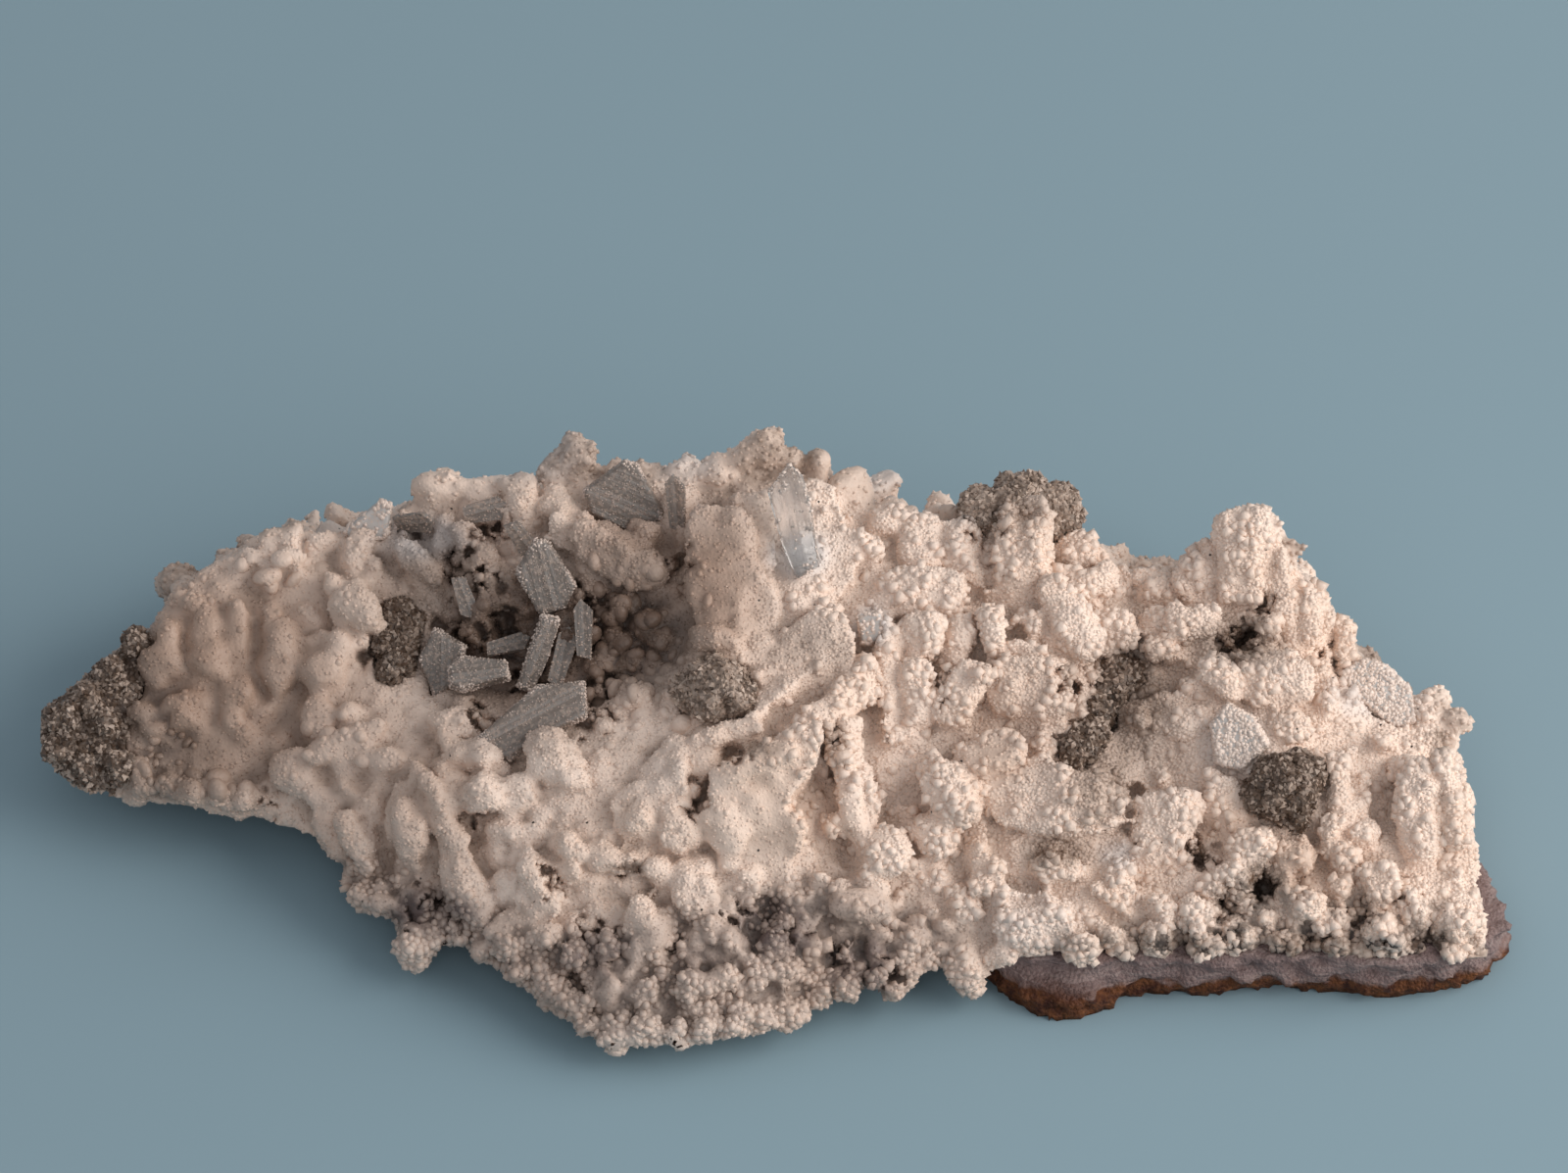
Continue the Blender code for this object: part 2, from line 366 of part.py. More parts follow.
# Coated blades and lumps on the far side: across, share of the way down the back slope,
# length, width, thickness, lean across in degrees.
BACK_BLADES = (
    (-72.0, 0.50, 5.0, 3.6, 2.4, -12), (-63.0, 0.42, 5.6, 4.2, 2.8, 15), (-55.0, 0.60, 6.0, 4.4, 2.6, -20),
    (-46.0, 0.42, 6.6, 4.0, 3.0, 10), (-39.0, 0.66, 6.0, 4.4, 2.6, 25), (-30.0, 0.42, 7.0, 4.6, 3.0, -15),
    (-21.0, 0.62, 7.0, 4.2, 2.8, 12), (-12.0, 0.40, 7.0, 4.8, 3.2, -8), (-3.0, 0.64, 6.5, 4.2, 2.8, 20),
    (5.0, 0.42, 7.0, 4.8, 3.2, 8), (14.0, 0.62, 6.5, 4.2, 2.8, -18), (20.0, 0.74, 6.0, 3.8, 2.6, 10),
    (42.0, 0.55, 5.0, 4.2, 2.8, 14), (49.0, 0.70, 5.0, 4.0, 2.6, -10), (56.0, 0.48, 6.0, 4.4, 3.0, 8),
    (63.0, 0.58, 5.0, 3.8, 2.8, 22), (71.0, 0.62, 4.0, 3.4, 2.4, 15), (78.0, 0.66, 3.6, 3.2, 2.2, 25),
)
BACK_LUMPS = (
    (-77.0, 0.60, 2.6), (-67.0, 0.70, 2.8), (-59.0, 0.75, 2.8), (-50.0, 0.78, 3.0), (-42.0, 0.85, 2.6),
    (-34.0, 0.75, 3.0), (-25.0, 0.82, 2.8), (-16.0, 0.80, 3.0), (-7.0, 0.85, 2.8), (1.0, 0.80, 3.0),
    (10.0, 0.82, 2.8), (28.0, 0.80, 3.0), (36.0, 0.82, 2.8), (45.0, 0.85, 2.6), (53.0, 0.80, 2.8),
    (60.0, 0.75, 2.8), (67.0, 0.75, 2.6), (74.0, 0.75, 2.4),
)

# Sulphide clusters, each a heap of lumps: across, up, radius, lift.
SULPHIDES = {
    "sulphide_left": ((-48.8, 14.2, 2.95, 0.4), (-49.2, 11.4, 2.95, 0.6), (-49.4, 8.6, 2.6, 0.6)),
    "sulphide_middle": ((-8.4, 6.6, 3.9, 1.6), (-11.6, 5.8, 2.8, 1.4), (-5.8, 5.0, 2.8, 1.4),
                        (-9.2, 3.6, 2.4, 1.4)),
    "sulphide_back": ((30.4, 28.8, 4.6, -1.2), (25.4, 28.4, 3.2, -0.8), (34.4, 28.4, 3.6, -1.0)),
    "sulphide_pocket": ((42.6, 7.4, 3.3, 0.2), (41.2, 4.9, 2.8, 0.2), (39.9, 2.5, 2.6, 0.0),
                        (38.4, 0.2, 2.6, 0.0), (37.2, -1.8, 2.8, 0.2)),
    "sulphide_right": ((63.0, -6.6, 4.4, 1.4), (65.4, -5.0, 3.0, 1.6), (61.0, -7.4, 3.0, 1.4),
                       (64.6, -9.4, 2.6, 1.4)),
}
NOSE_LUMPS = (
    (-92.0, -1.6, 2.2, 0.0), (-91.4, 2.2, 2.2, 0.2), (-88.6, 4.6, 2.0, 0.2), (-88.4, -3.8, 2.0, 0.2),
    (-86.6, 1.6, 2.4, 0.2), (-85.4, 7.6, 2.2, 0.2), (-82.4, 11.6, 2.0, 0.0), (-84.4, -3.6, 2.4, 0.2),
)

# Clear plates: outline (across, up), lift, lean up, lean across, thickness.
CLEAR_PLATES = {
    "selenite_crown": (((0.6, 34.7), (2.4, 33.1), (3.4, 30.0), (4.6, 21.4), (1.6, 19.6), (-0.4, 24.4),
                        (-2.2, 31.0)), 5.6, 0.06, 0.0, 1.8),
    "selenite_back_left": (((-56.2, 26.0), (-51.3, 30.2), (-49.8, 29.6), (-50.2, 25.4), (-53.6, 23.4)),
                           1.4, 0.1, 0.1, 1.1),
    "selenite_fan": (((-34.1, 20.6), (-31.6, 25.1), (-29.6, 24.6), (-26.2, 19.2), (-27.6, 16.2),
                      (-31.0, 15.2)), 3.4, 0.3, -0.1, 1.4),
    "selenite_long": (((-30.6, 15.6), (-28.2, 15.0), (-29.9, 9.6), (-31.9, 5.4), (-33.9, 6.0),
                       (-32.4, 10.6)), 4.4, 0.25, -0.3, 1.4),
    "selenite_rhomb": (((-46.4, 9.8), (-44.4, 13.9), (-40.2, 11.4), (-41.2, 6.8), (-44.4, 4.6)),
                       3.2, 0.1, 0.15, 2.0),
    "selenite_block": (((-42.6, 9.0), (-41.0, 10.2), (-35.0, 9.6), (-34.6, 7.2), (-40.6, 5.6),
                        (-42.4, 6.2)), 5.8, -0.3, 0.0, 2.0),
    "selenite_dusty": (((-39.2, -0.4), (-31.2, 6.6), (-25.0, 7.1), (-24.8, 2.2), (-31.0, 0.0),
                        (-34.6, -3.4)), 2.6, -0.15, -0.05, 1.6),
    "selenite_striped": (((-25.6, 31.2), (-20.2, 35.1), (-18.4, 34.4), (-14.8, 27.6), (-20.0, 25.8),
                          (-24.6, 28.2)), 2.2, 0.15, -0.05, 1.8),
    "selenite_small": (((9.0, 15.6), (12.4, 16.0), (12.8, 12.2), (9.8, 11.4)), 3.4, 0.1, 0.0, 1.2),
    "selenite_slope": (((70.2, 8.0), (73.6, 9.9), (76.6, 8.9), (79.6, 6.0), (80.6, 1.6), (77.4, 0.8),
                        (72.8, 4.6)), 1.8, -0.1, -0.15, 1.8),
    "selenite_patch": (((53.8, 1.6), (56.0, 4.2), (59.4, 2.6), (61.4, -1.0), (58.0, -4.4), (54.6, -3.6)),
                       1.8, 0.0, 0.05, 1.6),
}

# The slab's outline seen from above, at its widest, and how far its foot draws in.
SLAB_OUTLINE = (
    (86.0, -8.6, 1.5), (88.8, -17.0, 1.8), (91.4, -23.2, 1.8), (92.0, -26.0, 2.4), (89.4, -30.0, 1.6),
    (84.0, -32.4, 1.4), (76.0, -33.4, 0.6), (69.0, -32.8, 1.6), (62.0, -32.8, 3.0), (54.0, -33.2, 1.4),
    (46.0, -33.0, 1.2), (36.0, -33.2, 0.6), (27.0, -31.6, 1.2), (21.0, -28.0, 2.0), (12.0, -30.0, 3.0),
    (3.0, -32.4, 3.0), (-10.0, -37.0, 3.0), (-24.0, -36.0, 3.0), (-36.0, -27.0, 3.0), (-46.0, -22.0, 3.0),
    (-54.0, -12.0, 3.0), (-62.0, -1.0, 3.0), (-72.0, 2.6, 2.5), (-79.0, 6.0, 2.0), (-80.0, 13.0, 2.5),
    (-72.0, 26.0, 2.5), (-58.0, 34.0, 2.0), (-36.0, 37.5, 2.5), (-12.0, 38.5, 2.0), (14.0, 37.5, 2.5),
    (38.0, 35.0, 2.0), (54.0, 32.6, 2.5), (66.0, 26.0, 2.0), (75.0, 14.4, 2.0), (82.0, 5.0, 2.0),
)
# Levels of the slab from its foot: height, and the share of the draw-in at that height.
SLAB_LEVELS = ((0.0, 1.0), (1.2, 0.45), (SLAB_SEAM - 0.4, 0.0), (SLAB_SEAM, 0.5), (SLAB_HEIGHT, 0.15))
# The brown lump under the front edge, seen from above, its middle, and its width at each level.
ROCK_FOOT = (
    (25.6, -29.0), (27.4, -32.4), (30.4, -35.0), (34.2, -36.8), (38.0, -36.6), (41.6, -34.4), (44.0, -31.0),
)
ROCK_FOOT_MIDDLE = (35.0, -31.0)
ROCK_FOOT_LEVELS = ((0.0, 0.92), (1.0, 1.0), (3.2, 0.96), (4.6, 0.7))

ROCK_COLOR = (0.13, 0.075, 0.055)
GYPSUM_COLOR = (0.72, 0.66, 0.63)
SULPHIDE_COLOR = (0.10, 0.085, 0.075)
CLEAR_COLOR = (0.62, 0.68, 0.72)


def clear_scene():
    for item in list(bpy.data.objects):
        bpy.data.objects.remove(item, do_unlink=True)


def blend(low, high, share):
    return low + (high - low) * share


def section_at(across):
    """The crust's cross-section between its stations: front, crest, back and bulge."""
    inside = min(max(across, STATIONS[0][0]), STATIONS[-1][0])
    for low, high in zip(STATIONS, STATIONS[1:]):
        if inside <= high[0]:
            break
    share = (inside - low[0]) / (high[0] - low[0])
    share = share * share * (3.0 - 2.0 * share)
    corners = []
    for a, b in zip(low[1:4], high[1:4]):
        corners.append(Vector((0.0, blend(a[0], b[0], share), blend(a[1], b[1], share))))
    return corners, blend(low[4], high[4], share)


def swell(across, up):
    height = 0.0
    for a, u, reach_a, reach_u, top in SWELLS:
        height += top * math.exp(-(((across - a) / reach_a) ** 2) - ((up - u) / reach_u) ** 2)
    return height


def up_of(point):
    return (point.y + point.z - SIGHT_ZERO) * math.sqrt(0.5)


def bulge_shape(share):
    return max(math.sin(math.pi * share), 0.0) ** BULGE_POWER


def front_depth(across, up):
    """How near the eye the bare crust is, along the line of sight at this place."""
    (front, crest, _), bulge = section_at(across)
    share = (up - up_of(front)) / (up_of(crest) - up_of(front))
    share = min(max(share, 0.0), 1.0)
    on_line = front.lerp(crest, share)
    return on_line.dot(SIGHT) + bulge * bulge_shape(share) + swell(across, up)


def place(across, up, lift=0.0):
    """The point seen at this place, lifted off the crust towards the eye, in mm."""
    depth = front_depth(across, up) + lift
    origin = Vector((across, SIGHT_ZERO / 2, SIGHT_ZERO / 2))
    origin -= SIGHT * origin.dot(SIGHT)
    return origin + UP * up + SIGHT * depth


def back_place(across, share, lift=0.0):
    """A point on the far slope, from crest (0) to foot (1), and the way out of it."""
    (_, crest, back), _ = section_at(across)
    slope = back - crest
    outward = Vector((0.0, -slope.z, slope.y)).normalized()
    swelling = BACK_SWELLING * slope.length * math.sin(math.pi * share)
    point = crest.lerp(back, share) + outward * (swelling + lift)
    return point + ACROSS * across, outward


def ring_at(across):
    """One closed cross-section of the bare crust, from its front edge over the crest."""
    (front, crest, back), bulge = section_at(across)
    ring = []
    for row in range(FRONT_ROWS + 1):
        share = row / FRONT_ROWS
        point = front.lerp(crest, share)
        up = up_of(point)
        rise = bulge * bulge_shape(share)
        rise += swell(across, up) * bulge_shape(share)
        ring.append(point + SIGHT * rise + ACROSS * across)
    for row in range(1, BACK_ROWS + 1):
        point, _ = back_place(across, row / BACK_ROWS)
        ring.append(point)
    inner = front.lerp(back, 0.5)
    inner.z = min(front.z, back.z)
    ring.append(inner + ACROSS * across)
    return ring


def new_object(name, bm, color, roughness=0.6, metallic=0.0, transmission=0.0):
    bmesh.ops.recalc_face_normals(bm, faces=bm.faces)
    mesh = bpy.data.meshes.new(name)
    bm.to_mesh(mesh)
    bm.free()
    mesh.transform(Matrix.Scale(MM, 4))
    piece = bpy.data.objects.new(name, mesh)
    bpy.context.scene.collection.objects.link(piece)
    material = bpy.data.materials.new(name + "_finish")
    material.use_nodes = True
    shader = material.node_tree.nodes["Principled BSDF"]
    shader.inputs["Base Color"].default_value = (*color, 1.0)
    shader.inputs["Roughness"].default_value = roughness
    shader.inputs["Metallic"].default_value = metallic
    shader.inputs["Transmission Weight"].default_value = transmission
    mesh.materials.append(material)
    return piece


def loft(bm, rings):
    """Joins closed rings of equal length into a solid with flat ends."""
    layers = [[bm.verts.new(point) for point in ring] for ring in rings]
    count = len(rings[0])
    for low, high in zip(layers, layers[1:]):
        for i in range(count):
            j = (i + 1) % count
            bm.faces.new((low[i], low[j], high[j], high[i]))
    bm.faces.new(layers[0])
    bm.faces.new(reversed(layers[-1]))


def offset_outline(outline, distance):
    """The outline pushed outwards by this distance, with mitred corners."""
    area = 0.0
    for (x0, y0), (x1, y1) in zip(outline, outline[1:] + outline[:1]):
        area += x0 * y1 - x1 * y0
    side = 1.0 if area > 0 else -1.0
    moved = []
    for i, (x, y) in enumerate(outline):
        before = Vector((x - outline[i - 1][0], y - outline[i - 1][1])).normalized()
        after_point = outline[(i + 1) % len(outline)]
        after = Vector((after_point[0] - x, after_point[1] - y)).normalized()
        first = Vector((before.y, -before.x)) * side
        second = Vector((after.y, -after.x)) * side
        corner = (first + second) * (distance / (1.0 + first.dot(second)))
        moved.append((x + corner.x, y + corner.y))
    return moved


def prism(bm, outline, origin, along_x, along_y, facing, thick, grow=0.0, bevel=BEVEL):
    """A flat crystal: an outline in its own plane, given a thickness and sloping sides."""
    outer = offset_outline(outline, grow)
    inner = offset_outline(outline, grow - bevel)
    rings = []
    for flat, height in ((outer, -thick / 2 - grow), (inner, thick / 2 + grow)):
        rings.append([origin + along_x * x + along_y * y + facing * height for x, y in flat])
    loft(bm, rings)


def end_outline(length, width, end):
    """The outline of a blade that starts at 0 and ends at its length."""
    half = width / 2
    shapes = {
        "square": ((half, length - 0.2 * width), (0.36 * width, length), (-0.36 * width, length),
                   (-half, length - 0.2 * width)),
        "round": ((half, length - 0.5 * width), (0.32 * width, length - 0.1 * width), (0.0, length),
                  (-0.32 * width, length - 0.1 * width), (-half, length - 0.5 * width)),
        "slant": ((half, length - 0.7 * width), (0.1 * width, length - 0.15 * width),
                  (-0.3 * width, length), (-half, length - 0.15 * width)),
        "point": ((half, length - 0.8 * width), (0.05 * width, length), (-half, length - 0.7 * width)),
    }
    return [(-0.42 * width, 0.0), (0.42 * width, 0.0), *shapes[end]]


def add_blade(bm, foot, tip, lift_foot, lift_tip, width, thick, turn, end):
    start = place(*foot, lift_foot)
    finish = place(*tip, lift_tip)
    along = (finish - start).normalized()
    facing = (SIGHT - along * SIGHT.dot(along)).normalized()
    facing = Matrix.Rotation(math.radians(turn), 3, along) @ facing
    start -= along * ROOT + facing * (thick / 2)
    length = (finish - start).dot(along)
    outline = end_outline(length, width, end)
    prism(bm, outline, start, along.cross(facing), along, facing, thick)


def plate_frame(outline, lift, lean_up, lean_across):
    """Where a flat face that leans this much lies, and its own two directions."""
    middle_a = sum(a for a, _ in outline) / len(outline)
    middle_u = sum(u for _, u in outline) / len(outline)
    origin = place(middle_a, middle_u, lift)
    facing = (SIGHT - UP * lean_up - ACROSS * lean_across).normalized()
    along_x = (ACROSS + SIGHT * lean_across).normalized()
    along_y = facing.cross(along_x)
    flat = []
    for a, u in outline:
        rise = lean_up * (u - middle_u) + lean_across * (a - middle_a)
        point = ACROSS * (a - middle_a) + UP * (u - middle_u) + SIGHT * rise
        flat.append((point.dot(along_x), point.dot(along_y)))
    return flat, origin, along_x, along_y, facing


def add_slab(bm, outline, lift, lean_up, lean_across, thick):
    flat, origin, along_x, along_y, facing = plate_frame(outline, lift, lean_up, lean_across)
    origin -= facing * (thick / 2)
    prism(bm, flat, origin, along_x, along_y, facing, thick)


def add_lump(bm, start, finish, radius, grow=0.0):
    """An egg-shaped lump stretched from one point to another."""
    middle = (start + finish) / 2
    stretch = (finish - start).length / 2
    along = (finish - start).normalized() if stretch > 0.01 else UP
    turn = along.to_track_quat("Z", "Y").to_matrix().to_4x4()
    size = Matrix.Diagonal((radius + grow, radius + grow, radius + stretch + grow, 1.0))
    finer = 2 if radius > BIG_LUMP else 1
    bmesh.ops.create_icosphere(
        bm, subdivisions=finer, radius=1.0, matrix=Matrix.Translation(middle) @ turn @ size
    )


def add_back_blade(bm, across, share, length, width, thick, lean):
    point, outward = back_place(across, share)
    rising = (outward + Vector((0.0, 0.0, BACK_RISE))).normalized()
    along = Matrix.Rotation(math.radians(lean), 3, "Y") @ rising
    facing = ACROSS.cross(along).normalized()
    outline = end_outline(length, width, "round")
    start = point - along * ROOT
    prism(bm, outline, start, along.cross(facing), along, facing, thick)


def rings_between(low, high, step):
    count = max(2, round((high - low) / step))
    return [ring_at(blend(low, high, i / count)) for i in range(count + 1)]


def lean_ring(ring, across, slant):
    """Leans the flat end of a body, so that its place across changes with height."""
    for point in ring:
        point.x = across + slant * up_of(point)


def plug_ring(ring):
    """A drawn-in copy of the crust's first ring, which lies wholly inside the nose's pocket."""
    heart = Vector((NOSE_JOIN, *NOSE_HEART))
    drawn_in = [point.lerp(heart, PLUG_SHARE) for point in ring]
    lean_ring(drawn_in, NOSE_JOIN - JOIN_OVERLAP, NOSE_SLANT)
    return drawn_in


def apply_boolean(piece, other, operation, own_overlaps=False):
    modifier = piece.modifiers.new(operation.lower(), "BOOLEAN")
    modifier.operation = operation
    modifier.object = other
    modifier.solver = "EXACT"
    modifier.use_self = own_overlaps
    graph = bpy.context.evaluated_depsgraph_get()
    result = bpy.data.meshes.new_from_object(piece.evaluated_get(graph))
    piece.modifiers.remove(modifier)
    spent = piece.data
    piece.data = result
    bpy.data.meshes.remove(spent)
    bpy.data.objects.remove(other, do_unlink=True)


def thin_out(piece, triangles):
    """Merges the small splinters that the joins leave, down to about this many triangles."""
    piece.data.calc_loop_triangles()
    modifier = piece.modifiers.new("thin", "DECIMATE")
    modifier.ratio = min(1.0, triangles / len(piece.data.loop_triangles))
    graph = bpy.context.evaluated_depsgraph_get()
    result = bpy.data.meshes.new_from_object(piece.evaluated_get(graph))
    piece.modifiers.remove(modifier)
    piece.data = result


def keep_outer_shell(piece):
    """Drops the small closed voids left where overlapping crystals shut in a space."""
    bm = bmesh.new()
    bm.from_mesh(piece.data)
    unseen = set(bm.verts)
    shells = []
    while unseen:
        queue = [unseen.pop()]
        shell = list(queue)
        while queue:
            for edge in queue.pop().link_edges:
                for vert in edge.verts:
                    if vert in unseen:
                        unseen.remove(vert)
                        queue.append(vert)
                        shell.append(vert)
        shells.append(shell)
    shells.sort(key=len)
    for shell in shells[:-1]:
        bmesh.ops.delete(bm, geom=shell, context="VERTS")
    bm.to_mesh(piece.data)
    bm.free()


def slab_rings(grow):
    rings = []
    outline = [(x, y) for x, y, _ in SLAB_OUTLINE]
    narrow = offset_outline(outline, -1.0)
    for height, share in SLAB_LEVELS:
        ring = []
        for (x, y, draw), (nx, ny) in zip(SLAB_OUTLINE, narrow):
            inward = Vector((nx - x, ny - y))
            spot = Vector((x, y)) + inward * (draw * share - grow)
            ring.append(Vector((spot.x, spot.y, height)))
        rings.append(ring)
    return rings


def make_slab():
    bm = bmesh.new()
    loft(bm, slab_rings(0.0))
    slab = new_object("rock_slab", bm, ROCK_COLOR, 0.8)
    bm = bmesh.new()
    middle = Vector(ROCK_FOOT_MIDDLE)
    rings = []
    for height, share in ROCK_FOOT_LEVELS:
        ring = []
        for x, y in ROCK_FOOT:
            spot = middle + (Vector((x, y)) - middle) * share
            ring.append(Vector((spot.x, spot.y, height)))
        rings.append(ring)
    loft(bm, rings)
    apply_boolean(slab, new_object("rock_foot", bm, ROCK_COLOR), "UNION")
    return slab


def slab_cutter():
    bm = bmesh.new()
    rings = slab_rings(GAP)
    for point in rings[-1]:
        point.z += GAP
    widest = slab_rings(GAP)[2]
    for level, ring in enumerate(rings):
        for i, point in enumerate(ring):
            point.x = widest[i].x
            point.y = widest[i].y
            point.z = point.z if level else -CUTTER_DROP
    loft(bm, rings)
    return new_object("slab_cutter", bm, ROCK_COLOR)


def sulphide_lump(name, lump, grow):
    across, up, radius, lift = lump
    spot = place(across, up, lift)
    bm = bmesh.new()
    add_lump(bm, spot, spot, radius, grow)
    return new_object(name, bm, SULPHIDE_COLOR, 0.35, 0.3)


def heap(name, lumps, grow):
    """One closed body made of overlapping lumps."""
    body = sulphide_lump(name, lumps[0], grow)
    for lump in lumps[1:]:
        apply_boolean(body, sulphide_lump("next_lump", lump, grow), "UNION")
    return body


def nose_body(grow):
    bm = bmesh.new()
    rings = rings_between(STATIONS[0][0] - grow, NOSE_JOIN, NOSE_STEP)
    heart_y, heart_z = NOSE_HEART
    for ring in rings:
        for point in ring:
            away = Vector((0.0, point.y - heart_y, point.z - heart_z))
            point += away.normalized() * grow
    lean_ring(rings[-1], NOSE_JOIN + grow, NOSE_SLANT)
    loft(bm, rings)
    body = new_object("sulphide_nose", bm, SULPHIDE_COLOR, 0.35, 0.3)
    for lump in NOSE_LUMPS:
        apply_boolean(body, sulphide_lump("nose_lump", lump, grow), "UNION")
    return body


def clear_plate(name, grow):
    outline, lift, lean_up, lean_across, thick = CLEAR_PLATES[name]
    flat, origin, along_x, along_y, facing = plate_frame(outline, lift, lean_up, lean_across)
    bm = bmesh.new()
    prism(bm, flat, origin, along_x, along_y, facing, thick, grow, CLEAR_BEVEL)
    return new_object(name, bm, CLEAR_COLOR, 0.08, 0.0, 0.0 if grow else 0.9)


def crust_growth():
    """Every blade, slab and lump of the crust, still as bodies that overlap."""
    bm = bmesh.new()
    for blade in CREST_BLADES + HOLLOW_BLADES + FRONT_BLADES + RIGHT_BLADES:
        add_blade(bm, *blade)
    for slab in SLABS:
        add_slab(bm, *slab)
    for a0, u0, a1, u1, radius, lift in LUMPS:
        add_lump(bm, place(a0, u0, lift), place(a1, u1, lift), radius)
    for across, up, radius in FRINGE:
        spot = place(across, up, KNOB_LIFT)
        add_lump(bm, spot, spot, radius)
    for blade in BACK_BLADES:
        add_back_blade(bm, *blade)
    for across, share, radius in BACK_LUMPS:
        spot, _ = back_place(across, share, KNOB_LIFT)
        add_lump(bm, spot, spot, radius)
    return new_object("growth", bm, GYPSUM_COLOR)


def make_crust():
    bm = bmesh.new()
    rings = rings_between(NOSE_JOIN, CRUST_END, STATION_STEP)
    lean_ring(rings[0], NOSE_JOIN, NOSE_SLANT)
    lean_ring(rings[-1], CRUST_END, CRUST_END_SLANT)
    loft(bm, [plug_ring(rings[0]), *rings])
    crust = new_object("gypsum_crust", bm, GYPSUM_COLOR, 0.55)
    apply_boolean(crust, crust_growth(), "UNION", own_overlaps=True)
    keep_outer_shell(crust)
    thin_out(crust, CRUST_TRIANGLES)
    for across, up, radius, depth in PITS:
        bm = bmesh.new()
        spot = place(across, up, -depth)
        add_lump(bm, spot, spot + SIGHT * radius, radius)
        apply_boolean(crust, new_object("pit", bm, GYPSUM_COLOR), "DIFFERENCE")
    return crust


def main():
    clear_scene()
    crust = make_crust()
    make_slab()
    apply_boolean(crust, slab_cutter(), "DIFFERENCE")
    apply_boolean(crust, nose_body(GAP), "DIFFERENCE")
    nose_body(0.0)
    for name, lumps in SULPHIDES.items():
        apply_boolean(crust, heap(name + "_cutter", lumps, SULPHIDE_GAP), "DIFFERENCE")
        heap(name, lumps, 0.0)
    for name in CLEAR_PLATES:
        apply_boolean(crust, clear_plate(name, GAP), "DIFFERENCE")
        clear_plate(name, 0.0)
    keep_outer_shell(crust)


main()
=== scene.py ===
"""Looks of the gypsum specimen: sugared crust, dark nodules, clear plates and the rock slab."""

import json
import math

import bmesh
import bpy
import numpy as np
from bpy.props import FloatProperty, FloatVectorProperty, IntProperty, PointerProperty
from mathutils import Matrix, Vector
from mathutils.bvhtree import BVHTree

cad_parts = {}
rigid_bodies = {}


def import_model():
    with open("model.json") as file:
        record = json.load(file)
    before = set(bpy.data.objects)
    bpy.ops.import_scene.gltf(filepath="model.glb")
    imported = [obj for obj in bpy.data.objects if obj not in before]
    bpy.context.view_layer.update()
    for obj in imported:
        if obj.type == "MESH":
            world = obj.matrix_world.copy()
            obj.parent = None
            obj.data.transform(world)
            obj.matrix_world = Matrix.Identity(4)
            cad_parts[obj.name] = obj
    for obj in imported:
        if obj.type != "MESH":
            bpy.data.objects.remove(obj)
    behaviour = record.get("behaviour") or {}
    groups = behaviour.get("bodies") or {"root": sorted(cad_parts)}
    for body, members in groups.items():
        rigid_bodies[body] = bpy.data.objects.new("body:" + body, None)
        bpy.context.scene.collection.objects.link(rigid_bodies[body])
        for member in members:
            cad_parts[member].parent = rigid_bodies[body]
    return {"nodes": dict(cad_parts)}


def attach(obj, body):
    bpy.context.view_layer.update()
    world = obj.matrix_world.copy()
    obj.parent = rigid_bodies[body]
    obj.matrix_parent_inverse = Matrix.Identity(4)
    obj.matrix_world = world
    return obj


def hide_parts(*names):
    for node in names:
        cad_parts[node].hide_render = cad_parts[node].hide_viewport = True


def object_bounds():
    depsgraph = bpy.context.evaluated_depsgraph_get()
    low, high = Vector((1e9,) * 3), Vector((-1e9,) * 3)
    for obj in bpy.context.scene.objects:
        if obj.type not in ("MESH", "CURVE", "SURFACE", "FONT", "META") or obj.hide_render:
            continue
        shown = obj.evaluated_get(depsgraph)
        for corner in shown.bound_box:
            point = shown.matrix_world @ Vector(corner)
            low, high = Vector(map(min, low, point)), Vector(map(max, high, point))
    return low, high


bl_info = {
    "name": "Gypsum specimen",
    "version": (1, 0, 0),
    "blender": (4, 5, 0),
    "location": "View3D > Sidebar > Gypsum",
    "description": "Dresses the packed gypsum specimen with its crust, grains, plates and rock",
    "category": "Object",
}

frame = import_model()
CAD_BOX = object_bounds()

# Millimetres to metres.
MM = 0.001
# The view is 45 degrees from above, and there y + z = up * sqrt(2) + this, in mm.
SIGHT_ZERO = 14.0
# One pixel of the 1600 x 1197 photograph, in mm, and the pixel that is across 0, up 0.
PIXEL = 0.125
ZERO_PIXEL = (800.0, 750.0)
PHOTO_MIDDLE = (800.0, 598.5)
VIEW_ANGLE = math.radians(45.0)
# From the specimen towards the eye.
SIGHT = Vector((0.0, -math.cos(VIEW_ANGLE), math.sin(VIEW_ANGLE)))

NODULES = ("sulphide_nose", "sulphide_left", "sulphide_middle", "sulphide_back",
           "sulphide_pocket", "sulphide_right")
# How dusty and light each nodule is, in the same order.
NODULE_DUST = (0.65, 0.3, 4.0, 4.0, 0.5, 0.4)
PLATES = ("selenite_crown", "selenite_back_left", "selenite_fan", "selenite_long",
          "selenite_rhomb", "selenite_block", "selenite_dusty", "selenite_striped",
          "selenite_small", "selenite_slope", "selenite_patch")

# The plates in the hollow, under brown-grey dust.
DUSTY_PLATES = ("selenite_fan", "selenite_long", "selenite_rhomb", "selenite_dusty",
                "selenite_striped", "selenite_block")
# The plates that are more white than clear.
MILKY_PLATES = ("selenite_small", "selenite_slope", "selenite_patch", "selenite_back_left")
# The share of a plate's face that fine grains cover, where it isn't the usual one.
FROST = {"selenite_slope": 1.0, "selenite_patch": 1.0, "selenite_block": 0.4,
         "selenite_crown": 0.05, "selenite_back_left": 0.2}

